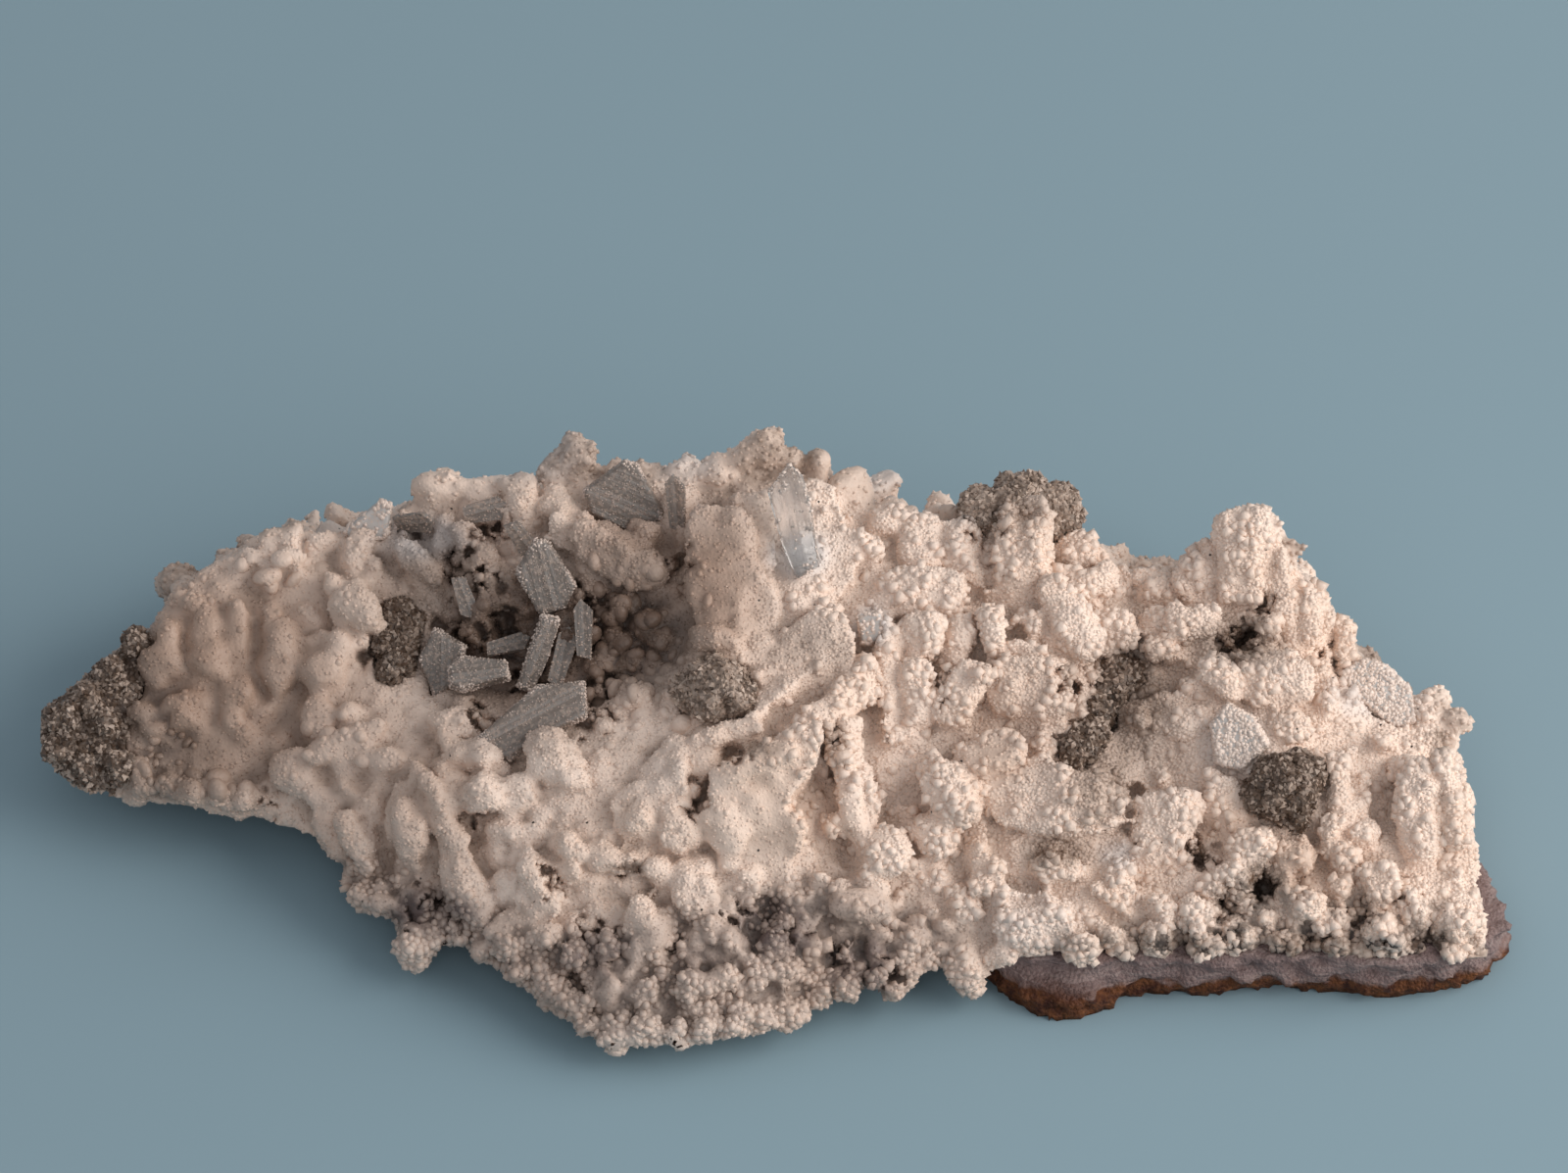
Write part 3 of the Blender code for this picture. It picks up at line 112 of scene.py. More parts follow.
# The crest, x and y in mm: the front of the crust lies before this line and the back behind it.
CREST = ((-94, 3), (-84, 11), (-76, 17.5), (-50, 21.5), (60, 17.5), (70, 12.5), (80, 5), (88, -9))
# Upper limit of the grey-lilac fringe along the lower front edge, across and up in mm.
FRINGE_TOP = ((-60, -13), (-50, -17), (-40, -20.5), (-30, -25), (-20, -24.5), (-10, -20.5),
              (0, -18.5), (10, -19), (18, -22), (26, -27))

# Places on the front, in mm: across, up, half width, half height, strength from 0 to 1.
SMOOTH_PLACES = (
    (-70, 8, 15, 13, 0.9), (-58, 12, 10, 12, 0.8), (-52, -4, 12, 8, 0.6), (-9, 20, 6, 8, 0.8),
    (-3, -9, 9, 8, 0.8), (-33, -26, 4, 3, 0.8), (8, -12, 6, 6, 0.5), (56, -10.5, 5, 4, 0.8),
    (65, -16, 4, 4, 0.8), (27, -3, 4, 3, 0.8), (75, 5, 6, 4, 0.6), (8, 3, 6, 5, 0.5),
)
# Plain faces of the large slabs, where no small growth stands.
BARE_PLACES = ((-8, 21.5, 7, 10, 1.0), (-2, -9, 9, 6, 1.0), (4, 8, 9, 4, 1.0), (48, -12, 6, 5, 1.0),
               (33, -8, 8, 4, 1.0), (82, -11, 6, 9, 1.0), (58.5, 22, 4, 6, 1.0))
# Where small round lumps crowd the floor of the hollow and stand in bunches.
LUMPY_PLACES = ((-18.5, 10, 7.5, 9, 1.0), (-20, 18, 7, 4, 1.0), (-33, 22, 5, 4, 0.8), (-65, 21, 6, 2.5, 0.8),
                (-40, 18, 4, 3, 0.6), (-57, -1, 4, 3, 0.5), (-74, -6, 11, 2, 0.8))
COARSE_PLACES = (
    (60, -24.5, 24, 4.5, 1.0), (84, -8, 4.5, 18, 0.8), (83, 2, 4, 5, 1.0), (59, 25, 6, 6, 0.5),
    (40, 24, 8, 5, 0.6), (50, 18, 10, 5, 0.6), (62, 8, 8, 6, 0.5), (10, 30, 8, 4, 0.6),
)
# Grey dust in the hollow and along the left side, partly painted shade where the hollow and the left side lie
# in shadow.
GREY_AND_SHADE_PLACES = (
    (-32, 12, 13, 9, 1.0), (-18, 13, 7, 7, 0.9), (-45, 19, 8, 7, 0.5), (-20, 21, 8, 5, 0.4),
    (-82, 4, 3.5, 10, 0.55), (-76, -2, 5, 3.5, 0.5), (44, 3, 6, 8, 0.45), (57, 12, 6, 3, 0.5),
    (4, 11, 5, 4, 0.35), (-20, -34, 12, 3, 0.35), (-80, -6, 12, 2.5, 0.5), (29, 30, 8, 4, 0.35),
)
# Lilac-grey stain of the lower fringe, partly painted shade of its down-facing front.
LILAC_STAIN_AND_SHADE_PLACES = (
    (-44, -22, 7, 4, 1.0), (-24, -26.5, 6, 4.5, 0.9), (-1, -24, 6, 5, 1.0), (10, -29, 6, 4.5, 0.9),
    (-63, -9, 4, 3, 0.5), (17, -24, 4, 3, 0.5), (-12, -29, 6, 4, 0.55), (-35, -29, 4, 2.5, 0.5),
)
DUST_PLACES = (
    (34, -14.5, 4, 2, 0.9), (-19.5, -16.5, 2, 1, 0.5), (6, -1, 1.5, 3, 0.6), (-3, -1.5, 3, 1, 0.7),
    (58, 12, 4, 3, 0.8), (60, -18.5, 3, 3, 0.9), (52.5, -15, 1.5, 1.5, 0.9), (56, -21, 2, 2, 0.8),
    (73, -22.5, 2, 2, 0.8), (81, -25.5, 3.5, 2, 0.8), (48, -26, 8, 1.6, 0.7), (66, -26.5, 9, 1.6, 0.8),
    (40, -6, 4, 5, 0.6), (44, 6, 4, 6, 0.6), (83, -0.5, 1.5, 1.5, 0.8), (-30, -1, 12, 2, 0.3),
)
# Painted shade, with some grimy pinkish tone: the left flank, the hollow and the shaded face of the big slab
# are darkened in colour here.
SHADE_AND_GRIME_PLACES = (
    (-72, 6, 18, 16, 1.0), (-31, 12, 15, 10, 1.25), (-20, 14, 8, 8, 1.25), (-41, 22, 9, 8, 0.7), (-55, 0, 9, 22, 0.45), (-46, -12, 9, 14, 0.55), (-30, -28, 14, 8, 0.4),
    (-45, 24, 12, 10, 0.4), (-9, 20, 8, 11, 1.0), (-20, 24, 8, 6, 0.9), (66, -16, 5, 4, 0.35), (0, -26, 22, 8, 0.3), (36, 2, 12, 10, 0.3), (-10, 10, 12, 6, 0.3),
)
# Where small white knobs stand along the lower right edge and in front of the nose.
EDGE_PLACES = ((62, -26.5, 27, 2.2, 1.0), (76, -22, 8, 3, 0.7), (56, -22, 6, 2.5, 0.6),
               (-79, -4, 5, 4, 0.6), (-77, 18, 4, 2, 0.8), (40, 20, 10, 5, 0.35), (57, 24, 5, 5, 0.4))
# Where dark ground shows between the small knobs, and where the crevices get a painted shadow.
GROUND_AND_SHADOW_PLACES = ((62, -26.5, 27, 3.4, 1.3), (59, -20, 6, 3, 0.9), (75, -22, 8, 2.5, 0.9),
                (-80, 2, 4, 12, 0.6), (-20, 12, 7, 7, 0.8), (-33, 12, 11, 8, 0.9))
ROCK_FOOT = ((33, -35, 9, 4.5, 1.0),)
COOL_PLACES = (
    (31, -23, 7, 4.5, 0.2), (11, 14, 2.5, 2.5, 0.8), (57, -1, 4, 4, 0.7), (42, -15, 2.5, 2, 0.6),
    (75, 5, 6, 3, 0.6), (2, 23, 4, 3, 0.8), (-46, 25, 6, 3, 0.6), (24, 30, 3, 3, 0.4),
)


# Forms of the front that are too small for the CAD. Blades and lobes are given as across, up,
# length and width in mm and their angle in the picture in degrees, knobs as across, up and width.
BLADES = (
    (-7.5, 21, 17, 9.5, 100), (-21.7, 22.8, 13, 4.5, -35),
    (-54.2, 23.3, 7, 3.5, 90), (-46.3, 22, 7, 3, -48), (-50, 25, 6, 4.5, 90), (-44.5, 28, 6, 4, 20),
    (-42, 31, 8, 4, 30), (-43, 25, 7, 3, 90), (-39, 23.5, 9, 3.5, -55), (-33, 27.5, 6, 2.5, 90),
    (-34, 31.5, 5, 2.5, 0), (-29, 33.5, 5, 3, 40), (-25, 36, 4, 3.5, 0), (-38.3, 13, 5, 2.2, -60),
    (-55.5, -0.8, 11, 3, 20), (-54, -3.5, 12, 3.5, 8), (-54.5, -12.5, 7.5, 3.2, -62),
    (-57, -12.5, 8, 2.5, -55), (-44, -7.5, 7, 2.6, -55), (-34, -12, 8, 2.5, -5),
    (-22.3, -15, 7, 3.4, -12), (-18, -7.5, 9, 4, 35), (-15.5, -4, 9, 4, 50), (-4, -3.5, 12, 3, 20),
    (8, -6, 13, 2.8, -78), (-18.5, 25, 10, 3, -35), (-4, 21, 10, 3, -60), (2.5, 10, 13, 8.5, 33),
    (6.5, 4, 11, 4, 30), (17.3, 24, 8, 5.5, 85), (22.5, 24, 7, 5, 100), (30, 22, 11, 7, 90),
    (10, 29, 8, 5, -20), (13, 27, 5, 4, 0), (17, 18, 12, 6, 0), (24, 20.5, 5, 4, -30),
    (37, 23, 5, 5, 0), (40, 23.5, 6, 3, 90), (38, 19, 7, 3, 25), (36, 15, 11, 4.5, -60),
    (41, 13, 8, 5, 22), (17.3, 12.5, 6, 5, 90), (26.4, 13.2, 5.5, 2.5, 100), (22, 11, 7, 3, 80),
    (22.3, 5.5, 9, 5, 60), (16.7, 5.5, 9, 4, 95), (31, 6, 10, 8, 0), (33, -0.5, 11, 6, -10),
    (25.5, -2.5, 9, 4.5, 15), (43, 2, 12, 4, 12), (58.5, 23, 12, 7, 90), (63.3, 18, 13, 3, 98),
    (66.4, 14.5, 7, 2.5, 90), (68.5, 15, 7, 2.5, 100), (71.4, 12, 7, 3.5, 100), (53, 20, 6, 5, 40),
    (52, 14, 7, 4, 10), (55.5, 7, 6, 3, -40), (61.3, 13.5, 3, 2.5, 90), (62.5, 6.5, 9, 6, 0),
    (20.5, -7.5, 8, 5.5, -60), (33, -8, 15, 8, 0), (48, -12, 10, 8, 90), (56, -9, 7, 6, 60),
    (59, -14, 6, 3, 10), (64.5, -15.5, 5, 4, 0), (57, -16.5, 8, 2, 20), (70.5, -8, 12, 3, 95),
    (84, -8, 12, 3, 95), (31, -24, 9, 6, 0),
)
LOBES = (
    (-78.3, 12, 5.5, 2.5, 90), (-79.5, 7.5, 4, 3, 90), (-82, 4, 4, 4, 0), (-80, 1, 4, 3, 0),
    (-83, -3, 5, 4, 90), (-77, 16.5, 4, 3, 0), (-73, 13, 7, 4, 90), (-72.5, 10, 5, 4.5, 90),
    (-69.5, 13, 9, 4, 90), (-69, 5.5, 5, 5, 90), (-70, 2.5, 4, 2.5, 90), (-65.4, 15, 5, 2.2, 90),
    (-64.3, 9, 9, 3.8, 90), (-63.3, 12.5, 5, 4, 90), (-66, 3, 5, 3, 30), (-68.5, 0.5, 3, 2.5, 0),
    (-64.5, -0.5, 4, 2.5, 0), (-64.5, 25, 4, 2.5, 0), (-61.3, 26.8, 4, 2, 120),
    (-52, 21, 4, 2.5, 90), (-54.3, 16.5, 6.5, 5, -30), (-54.5, 18.5, 4, 4, 0), (-59.8, 12, 3, 2, 0),
    (-57.8, 8.3, 6.5, 6, 90), (-56.5, 11.5, 4, 4, 0), (-59.5, 14.5, 6, 3, -40),
    (-59.2, 2.5, 5.5, 5, 90), (-74, 0.5, 4, 2, 90), (-76, 4, 7, 3.5, 0), (-62.5, -3.5, 6, 4, 15),
    (-63, -5.5, 5, 3, 10), (-52, -9.5, 5, 4, -50), (-58.5, -8, 6, 4, -30),
    (-47.5, -11, 8, 4.5, -75), (-43.5, 1.5, 5, 3.2, -55), (-46, -4, 3, 3, 0), (-43, -4, 3.5, 3, 0),
    (-42.5, -11.5, 9, 3.5, -70), (-37.5, -3, 5.5, 4.5, 30), (-41, 4.5, 5, 4, 90),
    (-29, -2.5, 7, 7, 0), (-37, -7.5, 6, 5, 0), (-33, -7, 4, 4, 0), (-36.5, -11.3, 2.2, 1.6, 0),
    (-40, -19, 12, 6, -60), (-34.5, -19.5, 6, 5, -40), (-31, -17.5, 6, 5, -60),
    (-29.5, -20.5, 4, 3, 0), (-33, -23.5, 6, 4, -20), (-34, -26.5, 5, 3.5, -20),
    (-31, -29, 4, 3, -20), (-45.8, -26.5, 5, 4, 0), (-26.5, -14, 5, 3, -60), (-16, -17, 4, 4, 60),
    (-17.8, -10.5, 4, 3.5, -20), (-13, -12, 7, 5, -20), (-7.5, -11.5, 8, 6, -60),
    (-3.5, 2.2, 4.5, 4, -60), (-8, 0, 8, 2.5, 12), (9.5, -12.5, 4.5, 3.5, -30),
    (12.5, -14.5, 6, 5, -20), (7, -11.5, 3.5, 3, 0), (8, -17.5, 7, 3, -35), (9.5, -21.5, 8, 5, 0),
    (-11.5, -20, 6, 6, 0), (-17, -23.5, 9, 6, -60), (-11.5, -31, 6, 3.5, 10),
    (-6.5, -25.5, 4, 3, 90), (4, 1, 10, 3, 30), (-25.3, 36.5, 4, 3, 0), (-24.5, 28, 3, 2.5, 90),
    (-17.5, 25.5, 3, 2.5, 0), (-12.3, 35.5, 3, 3, 0), (-12.5, 28.5, 6, 2, 90), (-8, 33, 6, 3, 0),
    (-1.5, 36.8, 6, 3.5, 35), (4, 35.5, 4, 2.5, 0), (5, 24, 8, 6, 90), (3, 18.5, 7, 6, 0),
    (9.5, 24.5, 2, 2, 0), (11, 23, 4, 3, 90), (1.8, 16.3, 3, 2.5, 0), (-38.5, 31.5, 7, 5, 0),
    (-29, 29, 5, 4, 0), (-38, 16.5, 5, 3, 0), (-40.5, 17.5, 4, 3, 0), (-36, 17, 3, 3, 0),
    (-27, 14, 4, 3, 90), (-23.5, 9, 5, 3, 90), (48, 18, 8, 4, 0), (47, 14, 5, 4, 0),
    (66.5, 7, 3, 3, 0), (83, 2, 7, 6, 90), (64, 1.5, 5, 4, 0), (50, 2, 9, 5, 0),
    (19, -12, 6, 5, -70), (18.5, -18, 6, 5, 0), (80.5, -10, 14, 6, 90), (22.5, -28, 7, 5, -80),
)
KNOBS = (
    (-66, 21.5, 2), (-64, 22, 2), (-62.5, 22.5, 2), (-67.5, 22, 2), (-65.5, 19.8, 2),
    (-62, 20.5, 2), (-69, 21, 2), (-57.3, 19.3, 2.5), (-55.2, 3, 2.7), (-81.5, -6, 3.5),
    (-78, -6, 3.5), (-75, -7, 3.5), (-71.5, -7, 3.2), (-68.5, -7.5, 3.2), (-43.8, 33.5, 1.5),
    (-10.5, 12.5, 3), (-8.5, 12.5, 3), (-6.8, 12, 1.6), (-22.5, 14, 3.5), (-24.5, 13.5, 3),
    (-20.5, 16.5, 3.5), (-17, 14, 3.2), (-15.5, 12, 3), (-20.5, 12, 3.2), (-19, 9, 3.2),
    (-22.5, 10, 3), (58, -26, 3), (64, -25.5, 3.4), (69, -26.5, 3), (71.5, -26, 2.6),
    (75, -25, 4), (84, -27, 5), (87, -24, 3.6), (41, -25, 3.2), (44, -26.5, 2.6), (47, -25, 3.4),
    (50, -27.5, 2.6), (53.5, -26.5, 3.2), (78, -28, 3), (61, -23, 2.6), (66.5, -21.5, 3.2),
    (70, -19, 3), (37, -26.5, 3), (54, -19, 3),
)
# Thin clear blades in and behind the hollow: across, up, length, width in mm and angle in degrees.
SHARDS = (
    (-27.2, 18.7, 10, 3, 100), (-28, 10, 8, 2.6, 75), (-13.6, 29.5, 8, 2.6, 85), (-31, 17, 8, 3, 112),
    (-29.5, 13, 7, 2.2, 60), (-35, 11.5, 6, 2.4, 20), (-25.3, 13.5, 8, 2.4, 96), (-40.5, 17.5, 6, 2.4, -70),
    (-33, 24.5, 7, 2.8, -55), (-47, 27, 7, 3, 30), (-36.5, 7.5, 7, 2.6, 8), (-22, 30.5, 8, 3.4, 40),
    (-42, 12.5, 6, 2.4, 55), (-31.5, 21, 7, 2.6, 78), (-38, 28.5, 6, 3, 15),
)
# Gaps and cavities between the blades: across, up, half width, half height and depth in mm. Their middles also
# get a painted shadow colour.
GAPS = (
    (-30.3, -17.8, 0.9, 0.6, 2), (-29.2, -19, 0.7, 0.6, 2), (-39.5, -10.5, 0.8, 1, 2),
    (-66, -7, 0.9, 0.7, 1.5), (-65.5, -9.5, 0.7, 0.7, 1.5), (-5.5, -2, 1.5, 0.7, 2.5),
    (-11, -8.5, 1, 2.6, 2.5), (-19.5, -16.5, 1.2, 0.7, 2), (6, -1, 1, 2.8, 2.5),
    (-26.5, 11, 1.4, 1.1, 3), (-23.2, 5, 0.9, 2.3, 3), (-13.5, 21, 1.3, 2, 3), (-24.5, 15, 1, 0.8, 2),
    (-36.5, 26.5, 2, 1.4, 3.5), (-41.5, 21.5, 1.3, 1.6, 3), (-38, 19.5, 1.6, 0.9, 3),
    (-53, 10.5, 1.8, 1.6, 2), (-40, 12, 1.2, 1, 2.5), (-47, 26, 1, 1.6, 2.5),
    (25.5, 27.5, 1.6, 1.6, 3), (42.5, 7.5, 2, 2.6, 3), (36, -2, 1.4, 1.2, 3), (19.2, 6.5, 0.7, 2.2, 2.5),
    (35.3, 6.3, 0.8, 1.6, 2.5), (57.8, 11.3, 2, 1, 3.5), (60, 16.3, 1, 1.4, 3), (69, 10.3, 1, 1, 2.5),
    (78.5, -20.5, 1.2, 1.7, 2), (60, -19, 1.7, 1.7, 3.5), (52.5, -14.5, 1.3, 0.9, 2.5),
    (56, -21.5, 1.6, 0.8, 2.5), (58, -24, 1.2, 0.7, 2), (50, -25.6, 1.4, 0.7, 2),
    (67, -26, 1.2, 0.8, 2), (73, -22.5, 1.2, 0.9, 2.5), (73.5, -26.8, 1.4, 0.7, 2),
    (81.5, -25.7, 1.8, 0.9, 2.5), (43.5, -7.5, 0.9, 0.9, 2), (44.5, -12, 0.7, 1.2, 2),
    (-45, -20.5, 1.4, 1, 1.6), (-41, -24.5, 1.6, 0.9, 1.6), (-24, -24.5, 1.8, 1.1, 2),
    (-21.5, -28, 1.3, 0.8, 1.6), (-26, -31.5, 1.5, 0.9, 1.6), (-6, -22, 1.3, 1, 1.8),
    (0.5, -25, 1.8, 1.2, 2), (6.5, -28, 1.5, 0.9, 1.8), (12.5, -29.5, 1.3, 0.9, 1.6),
    (-14, -27, 1.1, 0.8, 1.5), (-48, -23, 1.2, 0.9, 1.5), (-35.8, 13.6, 2.4, 1.5, 2.5),
    (-25.4, 17.8, 1.3, 1.9, 3), (-23.8, 2, 1.8, 1.5, 2.5), (-38.1, 2.4, 1.5, 1.7, 2.5),
    (-43.1, 14.6, 1.2, 1.6, 2), (-31.5, 6.8, 2.6, 1, 2.5), (-22.5, 13.5, 1.2, 1.5, 2),
)

# Small growths on the crust: place, shapes, size and spacing in mm, most per square mm, tilt, sink.
SMALL_FORMS = (
    ("lobed", "ball shapes", 5.0, 3.2, 0.16, 0.5, 0.44),
    ("lobed", "ball shapes", 2.4, 2.6, 0.08, 0.4, 0.38),
    ("bladed", "blade shapes", 6.0, 4.5, 0.035, 0.25, 0.22),
    ("fringe", "ball shapes", 2.2, 1.6, 0.5, 0.3, 0.15),
    ("coarse", "blade shapes", 2.8, 1.8, 0.2, 0.6, 0.2),
    ("back", "blade shapes", 7.5, 4.5, 0.04, 0.4, 0.08),
    ("behind", "ball shapes", 5.5, 3.6, 0.09, 0.4, 0.3),
    ("behind", "ball shapes", 2.8, 2.0, 0.16, 0.4, 0.22),
)


class GypsumSizes(bpy.types.PropertyGroup):
    """Sizes of the crust, its grains and the other pieces."""

    crust_detail: FloatProperty(
        name="Crust detail", description="Edge of the smallest square in the crust's mesh",
        default=0.52 * MM, min=0.3 * MM, unit="LENGTH", subtype="DISTANCE")
    bubble: FloatProperty(
        name="Bubble", description="Width of the larger rounded swellings of the crust",
        default=2.5 * MM, unit="LENGTH", subtype="DISTANCE")
    bubble_height: FloatProperty(
        name="Bubble height", description="How far the larger swellings stand out",
        default=0.65 * MM, unit="LENGTH", subtype="DISTANCE")
    bead: FloatProperty(
        name="Bead", description="Width of the small swellings of the crust",
        default=1.3 * MM, unit="LENGTH", subtype="DISTANCE")
    bead_height: FloatProperty(
        name="Bead height", description="How far the small swellings stand out",
        default=0.2 * MM, unit="LENGTH", subtype="DISTANCE")
    grain: FloatProperty(
        name="Grain", description="Width of a sugary gypsum grain of middle size",
        default=0.46 * MM, unit="LENGTH", subtype="DISTANCE")
    dark_grain: FloatProperty(
        name="Dark grain", description="Width of a crystal on the dark nodules",
        default=0.85 * MM, unit="LENGTH", subtype="DISTANCE")
    frost_grain: FloatProperty(
        name="Frost grain", description="Width of a white grain on the clear plates",
        default=0.42 * MM, unit="LENGTH", subtype="DISTANCE")
    rock_detail: FloatProperty(
        name="Rock detail", description="Edge of the smallest square in the rock's mesh",
        default=0.7 * MM, min=0.4 * MM, unit="LENGTH", subtype="DISTANCE")
    camera_distance: FloatProperty(
        name="Camera distance", description="From the lens to the middle of the specimen",
        default=2.4, unit="LENGTH", subtype="DISTANCE")
    seed: IntProperty(
        name="Seed", description="Fixes every random choice of place, turn and size", default=7, min=0)


class GypsumColours(bpy.types.PropertyGroup):
    """Colours of the specimen and of the floor it lies on."""

    sugar: FloatVectorProperty(
        name="Sugar white", description="Clean sugary gypsum", subtype="COLOR", size=4,
        default=(0.89, 0.725, 0.62, 1.0))
    cream: FloatVectorProperty(
        name="Cream", description="Waxy, pinkish gypsum", subtype="COLOR", size=4,
        default=(0.79, 0.595, 0.475, 1.0))
    # Painted shade with some grimy pinkish tone, laid over the shaded left flank, the hollow and the slab face.
    shade_and_grime: FloatVectorProperty(
        name="Dim gypsum", description="Grimy pinkish gypsum of the left end", subtype="COLOR", size=4,
        default=(0.36, 0.232, 0.168, 1.0))
    # Painted shade: the colour laid into crevices and hollows where shade falls.
    recess_shade: FloatVectorProperty(
        name="Recess", description="Gypsum deep between the blades", subtype="COLOR", size=4,
        default=(0.22, 0.145, 0.105, 1.0))
    # Lilac-grey stain, partly painted shade of the down-facing fringe and of the back near the floor.
    lilac: FloatVectorProperty(
        name="Lilac grey", description="Stained grains of the lower fringe", subtype="COLOR", size=4,
        default=(0.145, 0.102, 0.092, 1.0))
    # Grey dust and painted shade of the hollow.
    grey_dust_and_shade: FloatVectorProperty(
        name="Dusty grey", description="Grimy grains in the hollow", subtype="COLOR", size=4,
        default=(0.105, 0.07, 0.052, 1.0))
    dust: FloatVectorProperty(
        name="Brown dust", description="Brown dust and stains", subtype="COLOR", size=4,
        default=(0.16, 0.095, 0.06, 1.0))
    cool: FloatVectorProperty(
        name="Cool white", description="Half clear, bluish gypsum", subtype="COLOR", size=4,
        default=(0.62, 0.65, 0.68, 1.0))
    # Painted shadow in the gaps and crevices, and the real dark ground in patches near the slab.
    gap: FloatVectorProperty(
        name="Gap", description="Dark ground in the gaps between blades", subtype="COLOR", size=4,
        default=(0.06, 0.042, 0.034, 1.0))
    speck: FloatVectorProperty(
        name="Black speck", description="Scattered black specks", subtype="COLOR", size=4,
        default=(0.02, 0.015, 0.012, 1.0))
    nodule_dark: FloatVectorProperty(
        name="Nodule dark", description="Dark crystals of the nodules", subtype="COLOR", size=4,
        default=(0.055, 0.033, 0.021, 1.0))
    nodule_light: FloatVectorProperty(
        name="Nodule light", description="Dusty light crystals of the nodules", subtype="COLOR", size=4,
        default=(0.58, 0.46, 0.38, 1.0))
    rock_brown: FloatVectorProperty(
        name="Rock brown", description="Red-brown base of the slab", subtype="COLOR", size=4,
        default=(0.06, 0.016, 0.007, 1.0))
    rock_grey: FloatVectorProperty(
        name="Rock grey", description="Grey-lilac layer of the slab", subtype="COLOR", size=4,
        default=(0.225, 0.155, 0.148, 1.0))
    rock_streak: FloatVectorProperty(
        name="Rock streak", description="Light streaks in the grey layer", subtype="COLOR", size=4,
        default=(0.32, 0.24, 0.225, 1.0))
    rust: FloatVectorProperty(
        name="Rust", description="Orange-brown spots on the slab", subtype="COLOR", size=4,
        default=(0.2, 0.07, 0.022, 1.0))
    clear: FloatVectorProperty(
        name="Clear gypsum", description="Tint of the clear plates", subtype="COLOR", size=4,
        default=(0.88, 0.9, 0.91, 1.0))
    milky: FloatVectorProperty(
        name="Milky gypsum", description="Half clear plates on the right", subtype="COLOR", size=4,
        default=(0.8, 0.76, 0.73, 1.0))
    dusty_clear: FloatVectorProperty(
        name="Dusty clear gypsum", description="Tint of the dusty plates in the hollow",
        subtype="COLOR", size=4, default=(0.44, 0.375, 0.33, 1.0))
    floor: FloatVectorProperty(
        name="Floor", description="Pale plain floor", subtype="COLOR", size=4,
        default=(0.27, 0.395, 0.46, 1.0))


def new_mesh_object(name, mesh):
    """Adds an object with this mesh to the scene, at the origin."""
    piece = bpy.data.objects.new(name, mesh)
    bpy.context.scene.collection.objects.link(piece)
    return piece


def merged_copy(node_names):
    """One mesh with copies of these CAD nodes, their loose triangles joined at shared corners."""
    shape = bmesh.new()
    for name in node_names:
        shape.from_mesh(frame["nodes"][name].data)
    bmesh.ops.remove_doubles(shape, verts=shape.verts, dist=1e-6)
    for face in shape.faces:
        face.smooth = False
    return shape


def to_object(name, shape):
    """Turns a bmesh into an object in the scene and frees the bmesh."""
    mesh = bpy.data.meshes.new(name)
    shape.to_mesh(mesh)
    shape.free()
    return new_mesh_object(name, mesh)


def apply_modifiers(piece):
    """Keeps the piece's evaluated shape as its plain mesh and removes its modifiers."""
    depsgraph = bpy.context.evaluated_depsgraph_get()
    mesh = bpy.data.meshes.new_from_object(piece.evaluated_get(depsgraph))
    piece.modifiers.clear()
    old = piece.data
    piece.data = mesh
    bpy.data.meshes.remove(old)


def voxel_skin(piece, voxel, smoothing):
    """Joins the piece's overlapping solids into one even skin and rounds it off."""
    remesh = piece.modifiers.new("Remesh", "REMESH")
    remesh.mode = "VOXEL"
    remesh.voxel_size = voxel
    remesh.use_smooth_shade = True
    rounding = piece.modifiers.new("Rounding", "SMOOTH")
    rounding.factor = 0.5
    rounding.iterations = smoothing
    apply_modifiers(piece)


def thin_out(piece, triangles):
    """Collapses edges until the piece has about this many triangles."""
    piece.data.calc_loop_triangles()
    now = len(piece.data.loop_triangles)
    if now > triangles:
        collapse = piece.modifiers.new("Thin out", "DECIMATE")
        collapse.ratio = triangles / now
        apply_modifiers(piece)


def points_of(mesh):
    """The mesh's vertices, in metres."""
    flat = np.empty(len(mesh.vertices) * 3, np.float32)
    mesh.vertices.foreach_get("co", flat)
    return flat.reshape(-1, 3).astype(float)


def normals_of(mesh):
    """The mesh's vertex normals."""
    flat = np.empty(len(mesh.vertices) * 3, np.float32)
    mesh.vertex_normals.foreach_get("vector", flat)
    return flat.reshape(-1, 3).astype(float)


def set_points(mesh, points):
    """Moves the mesh's vertices to these points, in metres."""
    mesh.vertices.foreach_set("co", points.astype(np.float32).ravel())
    mesh.update()


def store(mesh, name, values):
    """Keeps one number for each vertex under that name."""
    attribute = mesh.attributes.get(name) or mesh.attributes.new(name, "FLOAT", "POINT")
    attribute.data.foreach_set("value", values.astype(np.float32))


def keep_in_box(piece):
    """Holds every vertex inside the box of the CAD model."""
    low, high = (np.array(corner) for corner in CAD_BOX)
    set_points(piece.data, np.clip(points_of(piece.data), low, high))


def neighbour_mean(points, edges, rounds):
    """The points after each has moved to the mean of its neighbours a number of times."""
    count = np.bincount(edges.ravel(), minlength=len(points)).clip(1)
    both = np.concatenate((edges, edges[:, ::-1]))
    for _ in range(rounds):
        total = [np.bincount(both[:, 0], weights=points[both[:, 1], axis], minlength=len(points))
                 for axis in range(3)]
        points = np.stack(total, axis=1) / count[:, None]
    return points


def stored(mesh, name):
    """The numbers kept under that name."""
    values = np.empty(len(mesh.vertices), np.float32)
    mesh.attributes[name].data.foreach_get("value", values)
    return values.astype(float)


